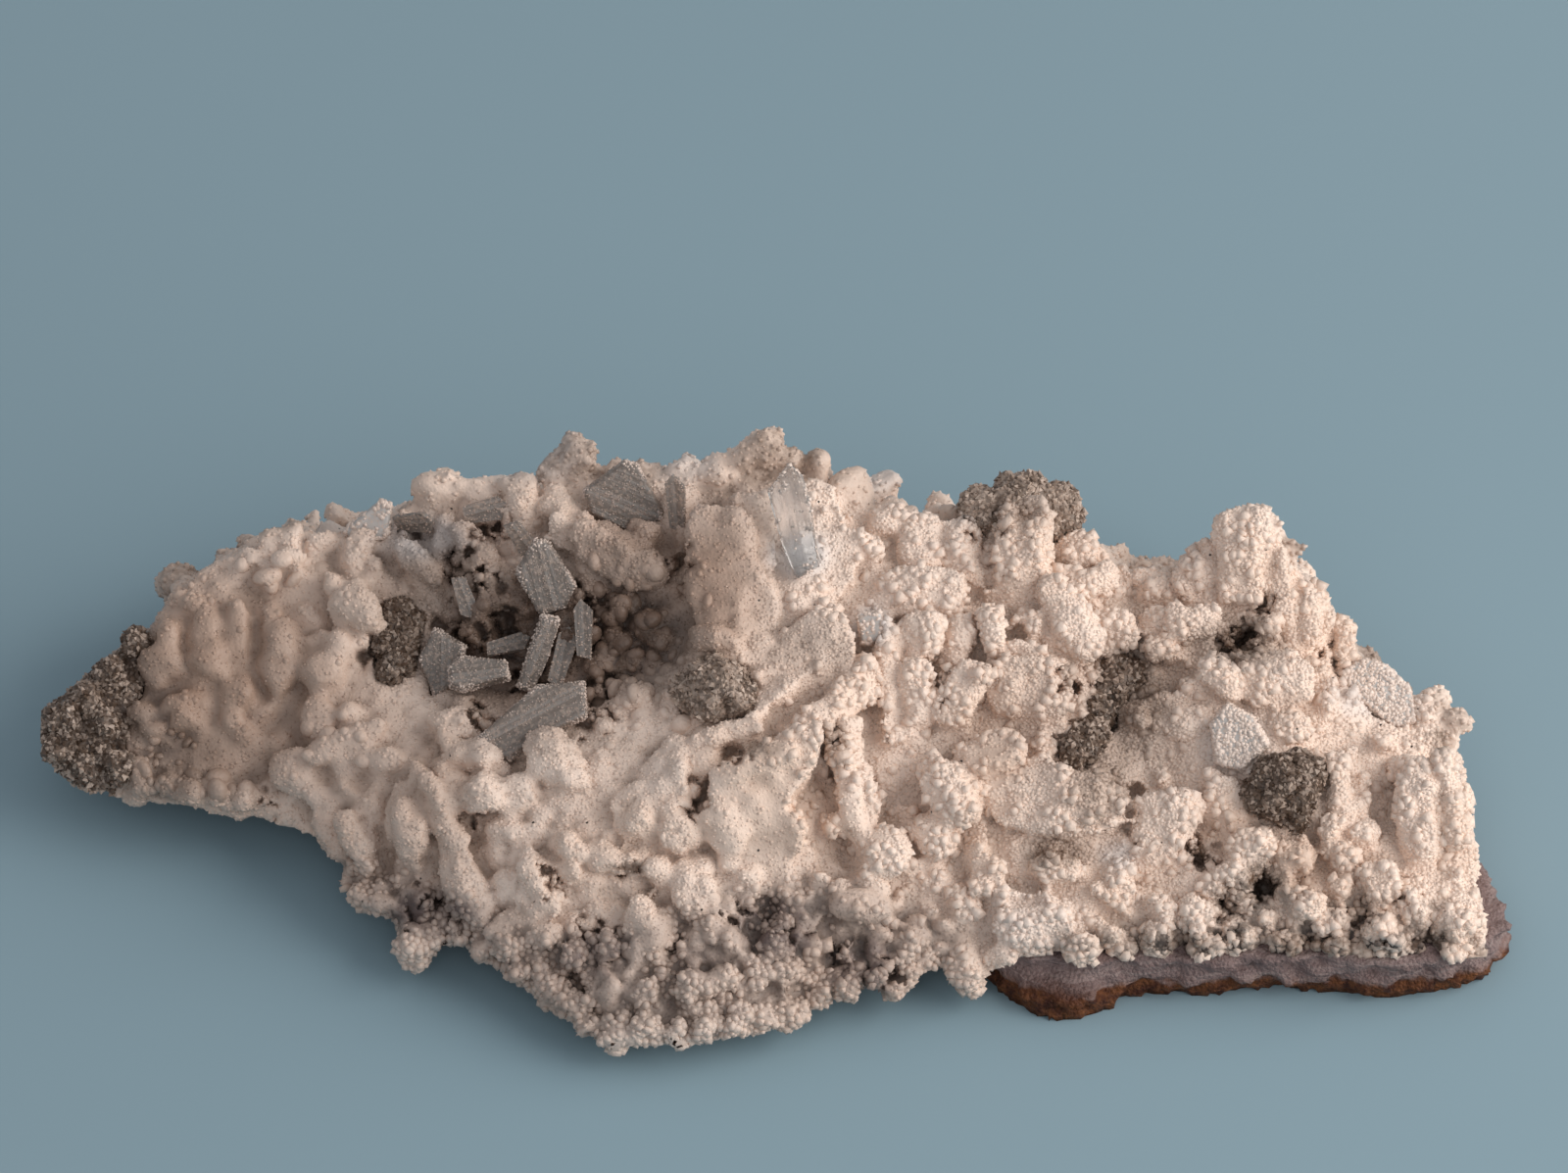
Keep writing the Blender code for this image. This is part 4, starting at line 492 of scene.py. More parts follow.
def hollowness(mesh, rounds, reach):
    """How far each vertex lies below its surroundings, from 0 on crests to 1 in pits."""
    flat = np.empty(len(mesh.edges) * 2, np.int32)
    mesh.edges.foreach_get("vertices", flat)
    points = points_of(mesh)
    around = neighbour_mean(points, flat.reshape(-1, 2), rounds)
    depth = ((around - points) * normals_of(mesh)).sum(axis=1)
    return np.clip(0.5 + 0.5 * depth / reach, 0.0, 1.0)


def seen_from_front(points):
    """Where points in metres are seen in the photograph's view, in mm: across and up."""
    across = points[:, 0] / MM
    up = ((points[:, 1] + points[:, 2]) / MM - SIGHT_ZERO) / math.sqrt(2.0)
    return across, up


def ramp(values, low, high):
    """Goes from 0 at low to 1 at high, softly."""
    share = np.clip((values - low) / (high - low), 0.0, 1.0)
    return share * share * (3.0 - 2.0 * share)


def on_front(points):
    """1 on the front of the crust, 0 on its back."""
    crest = np.interp(points[:, 0] / MM, *zip(*CREST))
    return 1.0 - ramp(points[:, 1] / MM, crest, crest + 3.0)


def places(across, up, table):
    """The strongest of several soft oval places at each point, from 0 to 1."""
    best = np.zeros(len(across))
    for middle, height, half_width, half_height, strength in table:
        reach = ((across - middle) / half_width) ** 2 + ((up - height) / half_height) ** 2
        best = np.maximum(best, strength * np.exp(-reach * reach))
    return best


def waves(points, size, seed):
    """Soft random patches of about this size in mm, from 0 to 1."""
    draw = np.random.default_rng(seed)
    total = np.zeros(len(points))
    for _ in range(9):
        direction = draw.normal(size=3)
        direction *= 2.0 * math.pi / (size * MM) / np.linalg.norm(direction)
        total += np.sin(points @ direction + draw.uniform(0.0, 6.28))
    return ramp(total, -3.5, 3.5)


def ragged(points, across, up):
    """The same places pushed about by small waves, so that round marks get uneven edges."""
    push = ((waves(points, 3.0, 51) - 0.5) * 3.0, (waves(points, 2.4, 52) - 0.5) * 2.4)
    return across + push[0], up + push[1]


def crust_masks(points):
    """The finish of the crust at each point, painted shade among it: a dictionary of numbers from 0 to 1."""
    across, up = seen_from_front(points)
    front = on_front(points)
    back = 1.0 - front
    fringe_top = np.interp(across, *zip(*FRINGE_TOP))
    fringe_end = ramp(across, -62.0, -52.0) * (1.0 - ramp(across, 20.0, 27.0))
    fringe = front * fringe_end * (1.0 - ramp(up, fringe_top - 2.0, fringe_top + 2.5))
    patches = waves(points, 26.0, 3)
    low_back = 1.0 - ramp(points[:, 2] / MM, 9.0, 17.0)
    # The lilac on the fringe and on the low back is partly painted shade of faces turned down and towards the
    # floor.
    lilac = places(across, up, LILAC_STAIN_AND_SHADE_PLACES) * front * fringe
    lilac = np.maximum(lilac, 0.38 * fringe)
    return {
        "fringe": np.maximum(fringe, back * low_back * 0.7 * ramp(patches, 0.3, 0.7)),
        "smooth": np.maximum(places(across, up, SMOOTH_PLACES) * front * (1.0 - fringe),
                             back * 0.6 * ramp(waves(points, 34.0, 5), 0.45, 0.8)),
        "coarse": np.maximum(places(across, up, COARSE_PLACES) * front,
                             back * 0.6 * ramp(waves(points, 30.0, 6), 0.5, 0.8)),
        "grey": np.maximum(places(across, up, GREY_AND_SHADE_PLACES) * front, back * 0.3 * patches),
        "lilac": np.maximum(lilac, back * low_back * 0.6 * patches),
        "dust": np.maximum(places(across, up, DUST_PLACES) * front,
                           back * 0.5 * ramp(waves(points, 15.0, 9), 0.7, 0.95)),
        "cool": np.maximum(places(across, up, COOL_PLACES) * front,
                           back * 0.4 * ramp(waves(points, 20.0, 11), 0.7, 0.95)),
        "shade_and_grime": places(across, up, SHADE_AND_GRIME_PLACES) * front,
        # Painted shadow at the bottom of the gaps.
        "gap": places(*ragged(points, across, up), [(gap[0], gap[1], gap[2] * 0.8, gap[3] * 0.8, 0.4) for gap in GAPS]) * front,
    }


def meet_crust(crust_tree, other_tree, across, up):
    """Where a line of sight meets the crust, and its normal, unless something else hides it."""
    level = (SIGHT_ZERO / 2.0 + up / math.sqrt(2.0)) * MM
    start = Vector((across * MM, level, level)) + SIGHT * 0.2
    hit, normal, _, distance = crust_tree.ray_cast(start, -SIGHT)
    hiding = other_tree.ray_cast(start, -SIGHT)[3]
    if hit is None or (hiding is not None and hiding < distance):
        return None
    return hit, normal


def sight_trees(skin):
    """Search trees of the crust and of the pieces that can hide it from the eye."""
    trees = []
    shape = bmesh.new()
    shape.from_mesh(skin)
    for item in (shape, merged_copy(NODULES + PLATES)):
        trees.append(BVHTree.FromBMesh(item))
        item.free()
    return trees


def lie_along(normal, turn):
    """The long and the side direction of a form with this normal, turned so in the picture."""
    upward = Vector((0.0, SIGHT.z, -SIGHT.y))
    long_way = Vector((math.cos(turn), 0.0, 0.0)) + upward * math.sin(turn)
    long_way = (long_way - normal * long_way.dot(normal)).normalized()
    return long_way, normal.cross(long_way)


def place_forms(skin, seed):
    """The blades, lobes and knobs of the front that are too small for the CAD, as one bmesh."""
    trees = sight_trees(skin)
    unit = ball(2)
    rounded = np.array([corner.co for corner in unit.verts]) * 2.0
    faces = [[corner.index for corner in face.verts] for face in unit.faces]
    unit.free()
    squared = 0.62 * rounded / np.abs(rounded).max(axis=1, keepdims=True) + 0.38 * rounded
    draw = np.random.default_rng(seed)
    corners = []
    sides = []
    for table, kind in ((BLADES, "blade"), (LOBES, "lobe"), (KNOBS, "knob")):
        for across, up, length, *rest in table:
            width, angle = rest or (length, 0.0)
            turn = math.radians(angle)
            found = []
            for share_x, share_y in ((0.0, 0.0), (0.4, 0.0), (-0.4, 0.0), (0.0, 0.4), (0.0, -0.4)):
                step_x = share_x * length
                step_y = share_y * width
                found.append(meet_crust(
                    *trees, across + step_x * math.cos(turn) - step_y * math.sin(turn),
                    up + step_x * math.sin(turn) + step_y * math.cos(turn)))
            if None in found:
                continue
            depth = float(np.median([hit.dot(SIGHT) for hit, _ in found]))
            middle = found[0][0] + SIGHT * (depth - found[0][0].dot(SIGHT))
            normal = sum((item[1] for item in found), Vector()).normalized()
            normal = normal * 0.6 + SIGHT * 0.4 + Vector(draw.normal(size=3)) * 0.12
            normal.normalize()
            long_way, side_way = lie_along(normal, turn)
            half = [length / 2.0, width / 2.0]
            for index, way in enumerate((long_way, side_way)):
                seen = math.sqrt(max(1.0 - way.dot(SIGHT) ** 2, 0.36))
                half[index] /= seen
            if kind == "blade":
                thick, lift, points = (2.0, 0.0, squared) if across > 10.0 else (1.4, -0.2, squared)
            elif kind == "lobe":
                thick, lift, points = min(0.42 * width, 2.3), -0.1 * width, rounded
            else:
                thick, lift, points = width / 2.0, 0.0, rounded
            scaled = points * np.array((half[0], half[1], thick)) * MM
            turned = scaled @ np.array((long_way, side_way, normal))
            first = len(corners)
            corners.extend((turned + np.array(middle + normal * lift * MM)).tolist())
            sides.extend([[first + index for index in face] for face in faces])
    mesh = bpy.data.meshes.new("placed forms")
    mesh.from_pydata(corners, [], sides)
    placed = bmesh.new()
    placed.from_mesh(mesh)
    bpy.data.meshes.remove(mesh)
    return placed


def sink_gaps(mesh):
    """Pushes the gaps between the blades inwards, away from the eye."""
    points = points_of(mesh)
    across, up = seen_from_front(points)
    facing = ramp(normals_of(mesh) @ np.array(SIGHT), 0.0, 0.35) * on_front(points)
    across, up = ragged(points, across, up)
    deep = np.zeros(len(points))
    for middle, height, half_width, half_height, depth in GAPS:
        reach = ((across - middle) / half_width) ** 2 + ((up - height) / half_height) ** 2
        deep = np.maximum(deep, depth * np.exp(-reach * reach))
    set_points(mesh, points - np.outer(deep * facing * MM, SIGHT))


def roughen(mesh):
    """Breaks up the even outlines of the forms with soft swells of two sizes."""
    points = points_of(mesh)
    swell = (waves(points, 9.0, 31) - 0.5) * 0.6 + (waves(points, 4.5, 32) - 0.5) * 0.2
    set_points(mesh, points + normals_of(mesh) * (swell * MM)[:, None])


def raise_relief(mesh, left_share, right_share, rounds, most):
    """Brings the relief out, most on the right: moves each vertex away from the smoothed shape."""
    flat = np.empty(len(mesh.edges) * 2, np.int32)
    mesh.edges.foreach_get("vertices", flat)
    points = points_of(mesh)
    share = left_share + (right_share - left_share) * ramp(points[:, 0] / MM, -15.0, 15.0)
    away = (points - neighbour_mean(points, flat.reshape(-1, 2), rounds)) * share[:, None]
    length = np.linalg.norm(away, axis=1, keepdims=True)
    set_points(mesh, points + away * np.minimum(1.0, most / np.maximum(length, 1e-9)))


def growth_covers(points, normals):
    """Where each kind of small growth stands on the crust, from 0 to 1."""
    masks = crust_masks(points)
    open_side = ramp(normals[:, 2], -0.55, 0.0)
    front = on_front(points)
    bare = places(*seen_from_front(points), BARE_PLACES)
    body = front * (1.0 - masks["fringe"]) * (1.0 - bare) * open_side
    behind = points[:, 1] / MM - np.interp(points[:, 0] / MM, *zip(*CREST))
    return {
        "fringe": masks["fringe"],
        "coarse": masks["coarse"] * open_side,
        "lobed": body * ramp(-points[:, 0] / MM, -22.0, -6.0),
        "bladed": body * ramp(points[:, 0] / MM, 2.0, 16.0),
        "back": ramp(behind, 7.0, 12.0) * open_side,
        "behind": ramp(behind, 2.0, 5.0) * open_side,
    }


def grow_small_forms(skin, seed):
    """The crust's beads, lumps and small blades, too small for the CAD, as one bmesh."""
    points = points_of(skin)
    store(skin, "size_factor", np.ones(len(points)))
    covers = growth_covers(points, normals_of(skin))
    grown = bmesh.new()
    for number, (place, shapes, size, spacing, per_square, tilt, sink) in enumerate(SMALL_FORMS):
        store(skin, "cover", covers[place])
        piece = new_mesh_object("growth", skin.copy())
        run_tree(piece, "Grains", {
            "Grain Size": size * MM, "Spacing": spacing * MM, "Density": per_square / MM ** 2,
            "Seed": seed + number, "Tilt": tilt, "Sink": sink,
            "Shapes": bpy.data.collections[shapes]}, {"Cover": "cover", "Size Factor": "size_factor"})
        grown.from_mesh(piece.data)
        mesh = piece.data
        bpy.data.objects.remove(piece)
        bpy.data.meshes.remove(mesh)
    return grown


def add_node(tree, kind, values=None, **settings):
    """Adds a node of this kind, with its settings and the values of its inputs."""
    node = tree.nodes.new(kind)
    for key, value in settings.items():
        setattr(node, key, value)
    for key, value in (values or {}).items():
        node.inputs[key].default_value = value
    return node


def wire(tree, target, source):
    """Feeds a socket from another socket or sets it to a plain value."""
    if isinstance(source, bpy.types.NodeSocket):
        tree.links.new(source, target)
    else:
        target.default_value = source


def maths(tree, operation, first, second=0.0, clamp=False):
    """The output of a Math node."""
    node = add_node(tree, "ShaderNodeMath", operation=operation, use_clamp=clamp)
    wire(tree, node.inputs[0], first)
    wire(tree, node.inputs[1], second)
    return node.outputs[0]


def vector_maths(tree, operation, first, second):
    """The output of a Vector Math node. Scale takes a number as its second value."""
    node = add_node(tree, "ShaderNodeVectorMath", operation=operation)
    wire(tree, node.inputs[0], first)
    wire(tree, node.inputs["Scale"] if operation == "SCALE" else node.inputs[1], second)
    return node.outputs[0]


def soft_step(tree, value, low, high, to_low=0.0, to_high=1.0):
    """A Map Range node that turns low to high into to_low to to_high, softly."""
    node = add_node(tree, "ShaderNodeMapRange", interpolation_type="SMOOTHSTEP")
    for socket, source in zip(node.inputs[:5], (value, low, high, to_low, to_high)):
        wire(tree, socket, source)
    return node.outputs[0]


def mix_colours(tree, share, first, second):
    """The output of a colour Mix node."""
    node = add_node(tree, "ShaderNodeMix", data_type="RGBA")
    wire(tree, node.inputs[0], share)
    wire(tree, node.inputs[6], first)
    wire(tree, node.inputs[7], second)
    return node.outputs[2]


def named(tree, name):
    """The vertex number stored under that name, for a material."""
    return add_node(tree, "ShaderNodeAttribute", attribute_name=name).outputs["Fac"]


def new_group(name, kind, inputs, outputs):
    """A node group with these sockets: name, socket type and, for an input, its default."""
    tree = bpy.data.node_groups.new(name, kind)
    for label, socket_type, default in inputs:
        socket = tree.interface.new_socket(name=label, in_out="INPUT", socket_type=socket_type)
        if default is not None:
            socket.default_value = default
    for label, socket_type in outputs:
        tree.interface.new_socket(name=label, in_out="OUTPUT", socket_type=socket_type)
    source = tree.nodes.new("NodeGroupInput")
    target = tree.nodes.new("NodeGroupOutput")
    return tree, source, target


def make_stain_group():
    """Stains and specks: lays a colour over another where a mask and fine patches say so."""
    tree, source, target = new_group(
        "Stain", "ShaderNodeTree",
        (("Color", "NodeSocketColor", None), ("Stain Color", "NodeSocketColor", None),
         ("Amount", "NodeSocketFloat", 0.5), ("Patch Size", "NodeSocketFloat", 0.002),
         ("Raggedness", "NodeSocketFloat", 0.5)),
        (("Color", "NodeSocketColor"), ("Mask", "NodeSocketFloat")))
    place = add_node(tree, "ShaderNodeTexCoord").outputs["Object"]
    scale = maths(tree, "DIVIDE", 1.0, source.outputs["Patch Size"])
    noise = add_node(tree, "ShaderNodeTexNoise", {"Detail": 3.0, "Roughness": 0.65})
    wire(tree, noise.inputs["Vector"], place)
    wire(tree, noise.inputs["Scale"], scale)
    lift = maths(tree, "MULTIPLY", maths(tree, "SUBTRACT", noise.outputs[0], 0.5),
                 maths(tree, "MULTIPLY", source.outputs["Raggedness"], 3.0))
    edge = maths(tree, "MULTIPLY", source.outputs["Amount"],
                 maths(tree, "ADD", 1.0, lift), clamp=True)
    wire(tree, target.inputs["Color"],
         mix_colours(tree, edge, source.outputs["Color"], source.outputs["Stain Color"]))
    wire(tree, target.inputs["Mask"], edge)
    return tree


def make_speck_group():
    """Small dark specks, few and far apart."""
    tree, source, target = new_group(
        "Specks", "ShaderNodeTree",
        (("Color", "NodeSocketColor", None), ("Speck Color", "NodeSocketColor", None),
         ("Spacing", "NodeSocketFloat", 0.004), ("Width", "NodeSocketFloat", 0.12),
         ("Share", "NodeSocketFloat", 0.3)),
        (("Color", "NodeSocketColor"),))
    place = add_node(tree, "ShaderNodeTexCoord").outputs["Object"]
    cells = add_node(tree, "ShaderNodeTexVoronoi", {"Randomness": 1.0})
    wire(tree, cells.inputs["Vector"], place)
    wire(tree, cells.inputs["Scale"], maths(tree, "DIVIDE", 1.0, source.outputs["Spacing"]))
    chance = add_node(tree, "ShaderNodeSeparateColor")
    wire(tree, chance.inputs[0], cells.outputs["Color"])
    there = maths(tree, "LESS_THAN", chance.outputs[0], source.outputs["Share"])
    near = soft_step(tree, cells.outputs["Distance"], source.outputs["Width"],
                     maths(tree, "MULTIPLY", source.outputs["Width"], 0.6))
    mask = maths(tree, "MULTIPLY", there, near)
    wire(tree, target.inputs["Color"],
         mix_colours(tree, mask, source.outputs["Color"], source.outputs["Speck Color"]))
    return tree


def make_relief_group():
    """Fine grainy relief: small cells with noise on them, as a height."""
    tree, source, target = new_group(
        "Fine relief", "ShaderNodeTree",
        (("Cell Size", "NodeSocketFloat", 0.0005), ("Noise Size", "NodeSocketFloat", 0.0003),
         ("Noise Share", "NodeSocketFloat", 0.4)),
        (("Height", "NodeSocketFloat"),))
    place = add_node(tree, "ShaderNodeTexCoord").outputs["Object"]
    cells = add_node(tree, "ShaderNodeTexVoronoi")
    wire(tree, cells.inputs["Vector"], place)
    wire(tree, cells.inputs["Scale"], maths(tree, "DIVIDE", 1.0, source.outputs["Cell Size"]))
    noise = add_node(tree, "ShaderNodeTexNoise", {"Detail": 4.0, "Roughness": 0.6})
    wire(tree, noise.inputs["Vector"], place)
    wire(tree, noise.inputs["Scale"], maths(tree, "DIVIDE", 1.0, source.outputs["Noise Size"]))
    dome = maths(tree, "SUBTRACT", 1.0, cells.outputs["Distance"])
    rough = maths(tree, "MULTIPLY", noise.outputs[0], source.outputs["Noise Share"])
    wire(tree, target.inputs["Height"], maths(tree, "ADD", dome, rough))
    return tree


def use_group(tree, group_name, values):
    """Places a shader node group and feeds its inputs."""
    node = add_node(tree, "ShaderNodeGroup")
    node.node_tree = bpy.data.node_groups[group_name]
    for label, source in values.items():
        wire(tree, node.inputs[label], source)
    return node


def new_material(name, settings):
    """A material with one Principled shader, its plain values set. Returns material, tree, shader."""
    material = bpy.data.materials.new(name)
    material.use_nodes = True
    tree = material.node_tree
    shader = tree.nodes["Principled BSDF"]
    for key, value in settings.items():
        shader.inputs[key].default_value = value
    return material, tree, shader


def add_bump(tree, shader, height, strength, distance):
    """Feeds the shader's normal from a height."""
    bump = add_node(tree, "ShaderNodeBump", {"Strength": strength, "Distance": distance})
    wire(tree, bump.inputs["Height"], height)
    wire(tree, shader.inputs["Normal"], bump.outputs[0])


def gypsum_colour(tree, colours):
    """The colour of sugared gypsum, from the numbers stored on its vertices."""
    place = add_node(tree, "ShaderNodeTexCoord").outputs["Object"]
    drift = add_node(tree, "ShaderNodeTexNoise", {"Scale": 70.0, "Detail": 3.0})
    wire(tree, drift.inputs["Vector"], place)
    creamy = maths(tree, "ADD", maths(tree, "MULTIPLY", named(tree, "smooth"), 0.45),
                   soft_step(tree, drift.outputs[0], 0.4, 0.68, 0.0, 0.5), clamp=True)
    colour = mix_colours(tree, creamy, colours.sugar, colours.cream)
    # Several of these stains are painted shade: the dimmed flank, hollow and slab face, the darkened crevices,
    # the grey hollow, the lilac fringe and the dark gaps; the others are the gypsum's own tones.
    for mask, stain, strength, size, ragged in (
            ("shade_and_grime", colours.shade_and_grime, 0.8, 0.006, 0.3),
            ("cool", colours.cool, 0.7, 0.004, 0.4),
            ("pit", colours.recess_shade, 0.8, 0.003, 0.25),
            ("grey", colours.grey_dust_and_shade, 0.85, 0.0022, 0.5),
            ("lilac", colours.lilac, 0.9, 0.003, 0.6),
            ("dust", colours.dust, 0.8, 0.0011, 1.1),
            ("gap", colours.gap, 0.9, 0.0008, 0.4)):
        amount = maths(tree, "MULTIPLY", named(tree, mask), strength)
        stained = use_group(tree, "Stain", {
            "Color": colour, "Stain Color": stain, "Amount": amount,
            "Patch Size": size, "Raggedness": ragged})
        colour = stained.outputs["Color"]
    specks = use_group(tree, "Specks", {
        "Color": colour, "Speck Color": colours.speck, "Spacing": 0.0036, "Width": 0.06,
        "Share": 0.35})
    return specks.outputs["Color"]


def make_crust_materials(colours):
    """Waxy gypsum under the grains, and the grainier gypsum of the small knobs."""
    for name, strength, distance in (("gypsum crust", 0.5, 0.14), ("gypsum knobs", 0.6, 0.12)):
        material, tree, shader = new_material(name, {"Roughness": 0.5, "IOR": 1.52})
        wire(tree, shader.inputs["Base Color"], gypsum_colour(tree, colours))
        relief = use_group(tree, "Fine relief", {
            "Cell Size": 0.45 * MM, "Noise Size": 0.25 * MM, "Noise Share": 0.5})
        add_bump(tree, shader, relief.outputs["Height"], strength, distance * MM)


def make_grain_material(colours):
    """Single gypsum grains: clear-edged, glinting, each a little lighter or darker."""
    material, tree, shader = new_material("gypsum grains", {
        "Roughness": 0.5, "IOR": 1.45, "Coat Roughness": 0.12})
    colour = gypsum_colour(tree, colours)
    shade = add_node(tree, "ShaderNodeHueSaturation")
    wire(tree, shade.inputs["Value"], soft_step(tree, named(tree, "tint"), 0.0, 1.0, 0.95, 1.05))
    wire(tree, shade.inputs["Color"], colour)
    wire(tree, shader.inputs["Base Color"], shade.outputs[0])
    wire(tree, shader.inputs["Coat Weight"], soft_step(tree, named(tree, "tint"), 0.9, 0.96, 0.0, 0.5))
    return material


def make_nodule_material(colours):
    """Dark sulphide druse: near black in the gaps, partly as painted shade, dusty grey on some crystals."""
    material, tree, shader = new_material("sulphide druse", {
        "Roughness": 0.42, "IOR": 1.6, "Specular IOR Level": 0.4})
    tint = named(tree, "tint")
    share = maths(tree, "MULTIPLY", soft_step(tree, tint, 0.2, 0.95, 0.1, 1.6),
                  maths(tree, "ADD", named(tree, "dusty"), 0.12), clamp=True)
    colour = mix_colours(tree, share, colours.nodule_dark, colours.nodule_light)
    dusty = use_group(tree, "Stain", {
        "Color": colour, "Stain Color": colours.dust, "Amount": 0.3,
        "Patch Size": 0.002, "Raggedness": 1.2})
    wire(tree, shader.inputs["Base Color"], dusty.outputs["Color"])
    relief = use_group(tree, "Fine relief", {
        "Cell Size": 0.5 * MM, "Noise Size": 0.3 * MM, "Noise Share": 0.5})
    add_bump(tree, shader, relief.outputs["Height"], 0.6, 0.15 * MM)
    return material


def make_rock_material(colours):
    """The slab in layers: ragged red-brown below, streaked grey-lilac above, with rust."""
    material, tree, shader = new_material("layered rock", {
        "Roughness": 0.6, "IOR": 1.5, "Specular IOR Level": 0.3})
    place = add_node(tree, "ShaderNodeTexCoord").outputs["Object"]
    warp = add_node(tree, "ShaderNodeTexNoise", {"Scale": 150.0, "Detail": 3.0})
    wire(tree, warp.inputs["Vector"], place)
    height = add_node(tree, "ShaderNodeSeparateXYZ")
    wire(tree, height.inputs[0], place)
    wavy = maths(tree, "ADD", height.outputs[2],
                 maths(tree, "MULTIPLY", maths(tree, "SUBTRACT", warp.outputs[0], 0.5), 2.2 * MM))
    grey_share = maths(tree, "SUBTRACT", soft_step(tree, wavy, 2.6 * MM, 3.5 * MM),
                       named(tree, "brown"), clamp=True)
    colour = mix_colours(tree, grey_share, colours.rock_brown, colours.rock_grey)
    stretch = add_node(tree, "ShaderNodeMapping", {"Scale": (60.0, 60.0, 2600.0)})
    wire(tree, stretch.inputs["Vector"], place)
    streak = add_node(tree, "ShaderNodeTexNoise", {"Scale": 1.0, "Detail": 3.0})
    wire(tree, streak.inputs["Vector"], stretch.outputs[0])
    light = maths(tree, "MULTIPLY", soft_step(tree, streak.outputs[0], 0.5, 0.64), grey_share)
    colour = mix_colours(tree, light, colour, colours.rock_streak)
    rusty = use_group(tree, "Stain", {
        "Color": colour, "Stain Color": colours.rust,
        "Amount": soft_step(tree, wavy, 4.4 * MM, 2.4 * MM, 0.0, 0.5),
        "Patch Size": 0.0016, "Raggedness": 2.2})
    flecked = use_group(tree, "Stain", {
        "Color": rusty.outputs["Color"], "Stain Color": colours.rock_streak,
        "Amount": maths(tree, "MULTIPLY", grey_share, 0.25),
        "Patch Size": 0.0007, "Raggedness": 2.4})
    wire(tree, shader.inputs["Base Color"], flecked.outputs["Color"])
    relief = use_group(tree, "Fine relief", {
        "Cell Size": 0.5 * MM, "Noise Size": 0.35 * MM, "Noise Share": 1.0})
    add_bump(tree, shader, relief.outputs["Height"], 0.9, 0.35 * MM)
    return material


def make_clear_materials(colours):
    """Selenite, clear, milky or dusty: it lets light through and its relief breaks the light."""
    for name, colour, line, roughness, clearness, haze, density, flecks, lined in (
            ("clear selenite", colours.clear, colours.clear, 0.08, 0.96, (0.8, 0.8, 0.8, 1.0),
             30.0, 0.76, 0.3),
            ("milky selenite", colours.milky, colours.sugar, 0.3, 0.4, (0.8, 0.78, 0.76, 1.0),
             60.0, 0.55, 0.1),
            ("dusty selenite", colours.dusty_clear, colours.milky, 0.34, 0.65,
             (0.5, 0.41, 0.34, 1.0), 260.0, 0.53, 0.55)):
        material, tree, shader = new_material(name, {
            "Roughness": roughness, "IOR": 1.52, "Transmission Weight": clearness})
        place = add_node(tree, "ShaderNodeTexCoord").outputs["Object"]
        lines = add_node(tree, "ShaderNodeTexNoise", {"Scale": 1.5, "Detail": 4.0},
                         noise_dimensions="1D")
        wire(tree, lines.inputs["W"], named(tree, "streak"))
        grainy = add_node(tree, "ShaderNodeTexNoise", {"Scale": 1.0 / (0.55 * MM), "Detail": 3.0})
        wire(tree, grainy.inputs["Vector"], place)
        pale = mix_colours(tree, soft_step(tree, lines.outputs[0], 0.42, 0.66, 0.0, lined),
                           colour, line)
        white = soft_step(tree, grainy.outputs[0], flecks, flecks + 0.06, 0.0, 0.85)
        wire(tree, shader.inputs["Base Color"], mix_colours(tree, white, pale, colours.sugar))
        height = maths(tree, "ADD", maths(tree, "MULTIPLY", lines.outputs[0], 1.5),
                       grainy.outputs[0])
        add_bump(tree, shader, height, lined + 0.1, 0.25 * MM)
        inside = add_node(tree, "ShaderNodeVolumeAbsorption", {"Color": haze, "Density": density})
        wire(tree, tree.nodes["Material Output"].inputs["Volume"], inside.outputs[0])


def make_floor_material(colours):
    """A plain pale matt floor."""
    material, _, _ = new_material("pale floor", {"Base Color": colours.floor, "Roughness": 0.85})
    return material


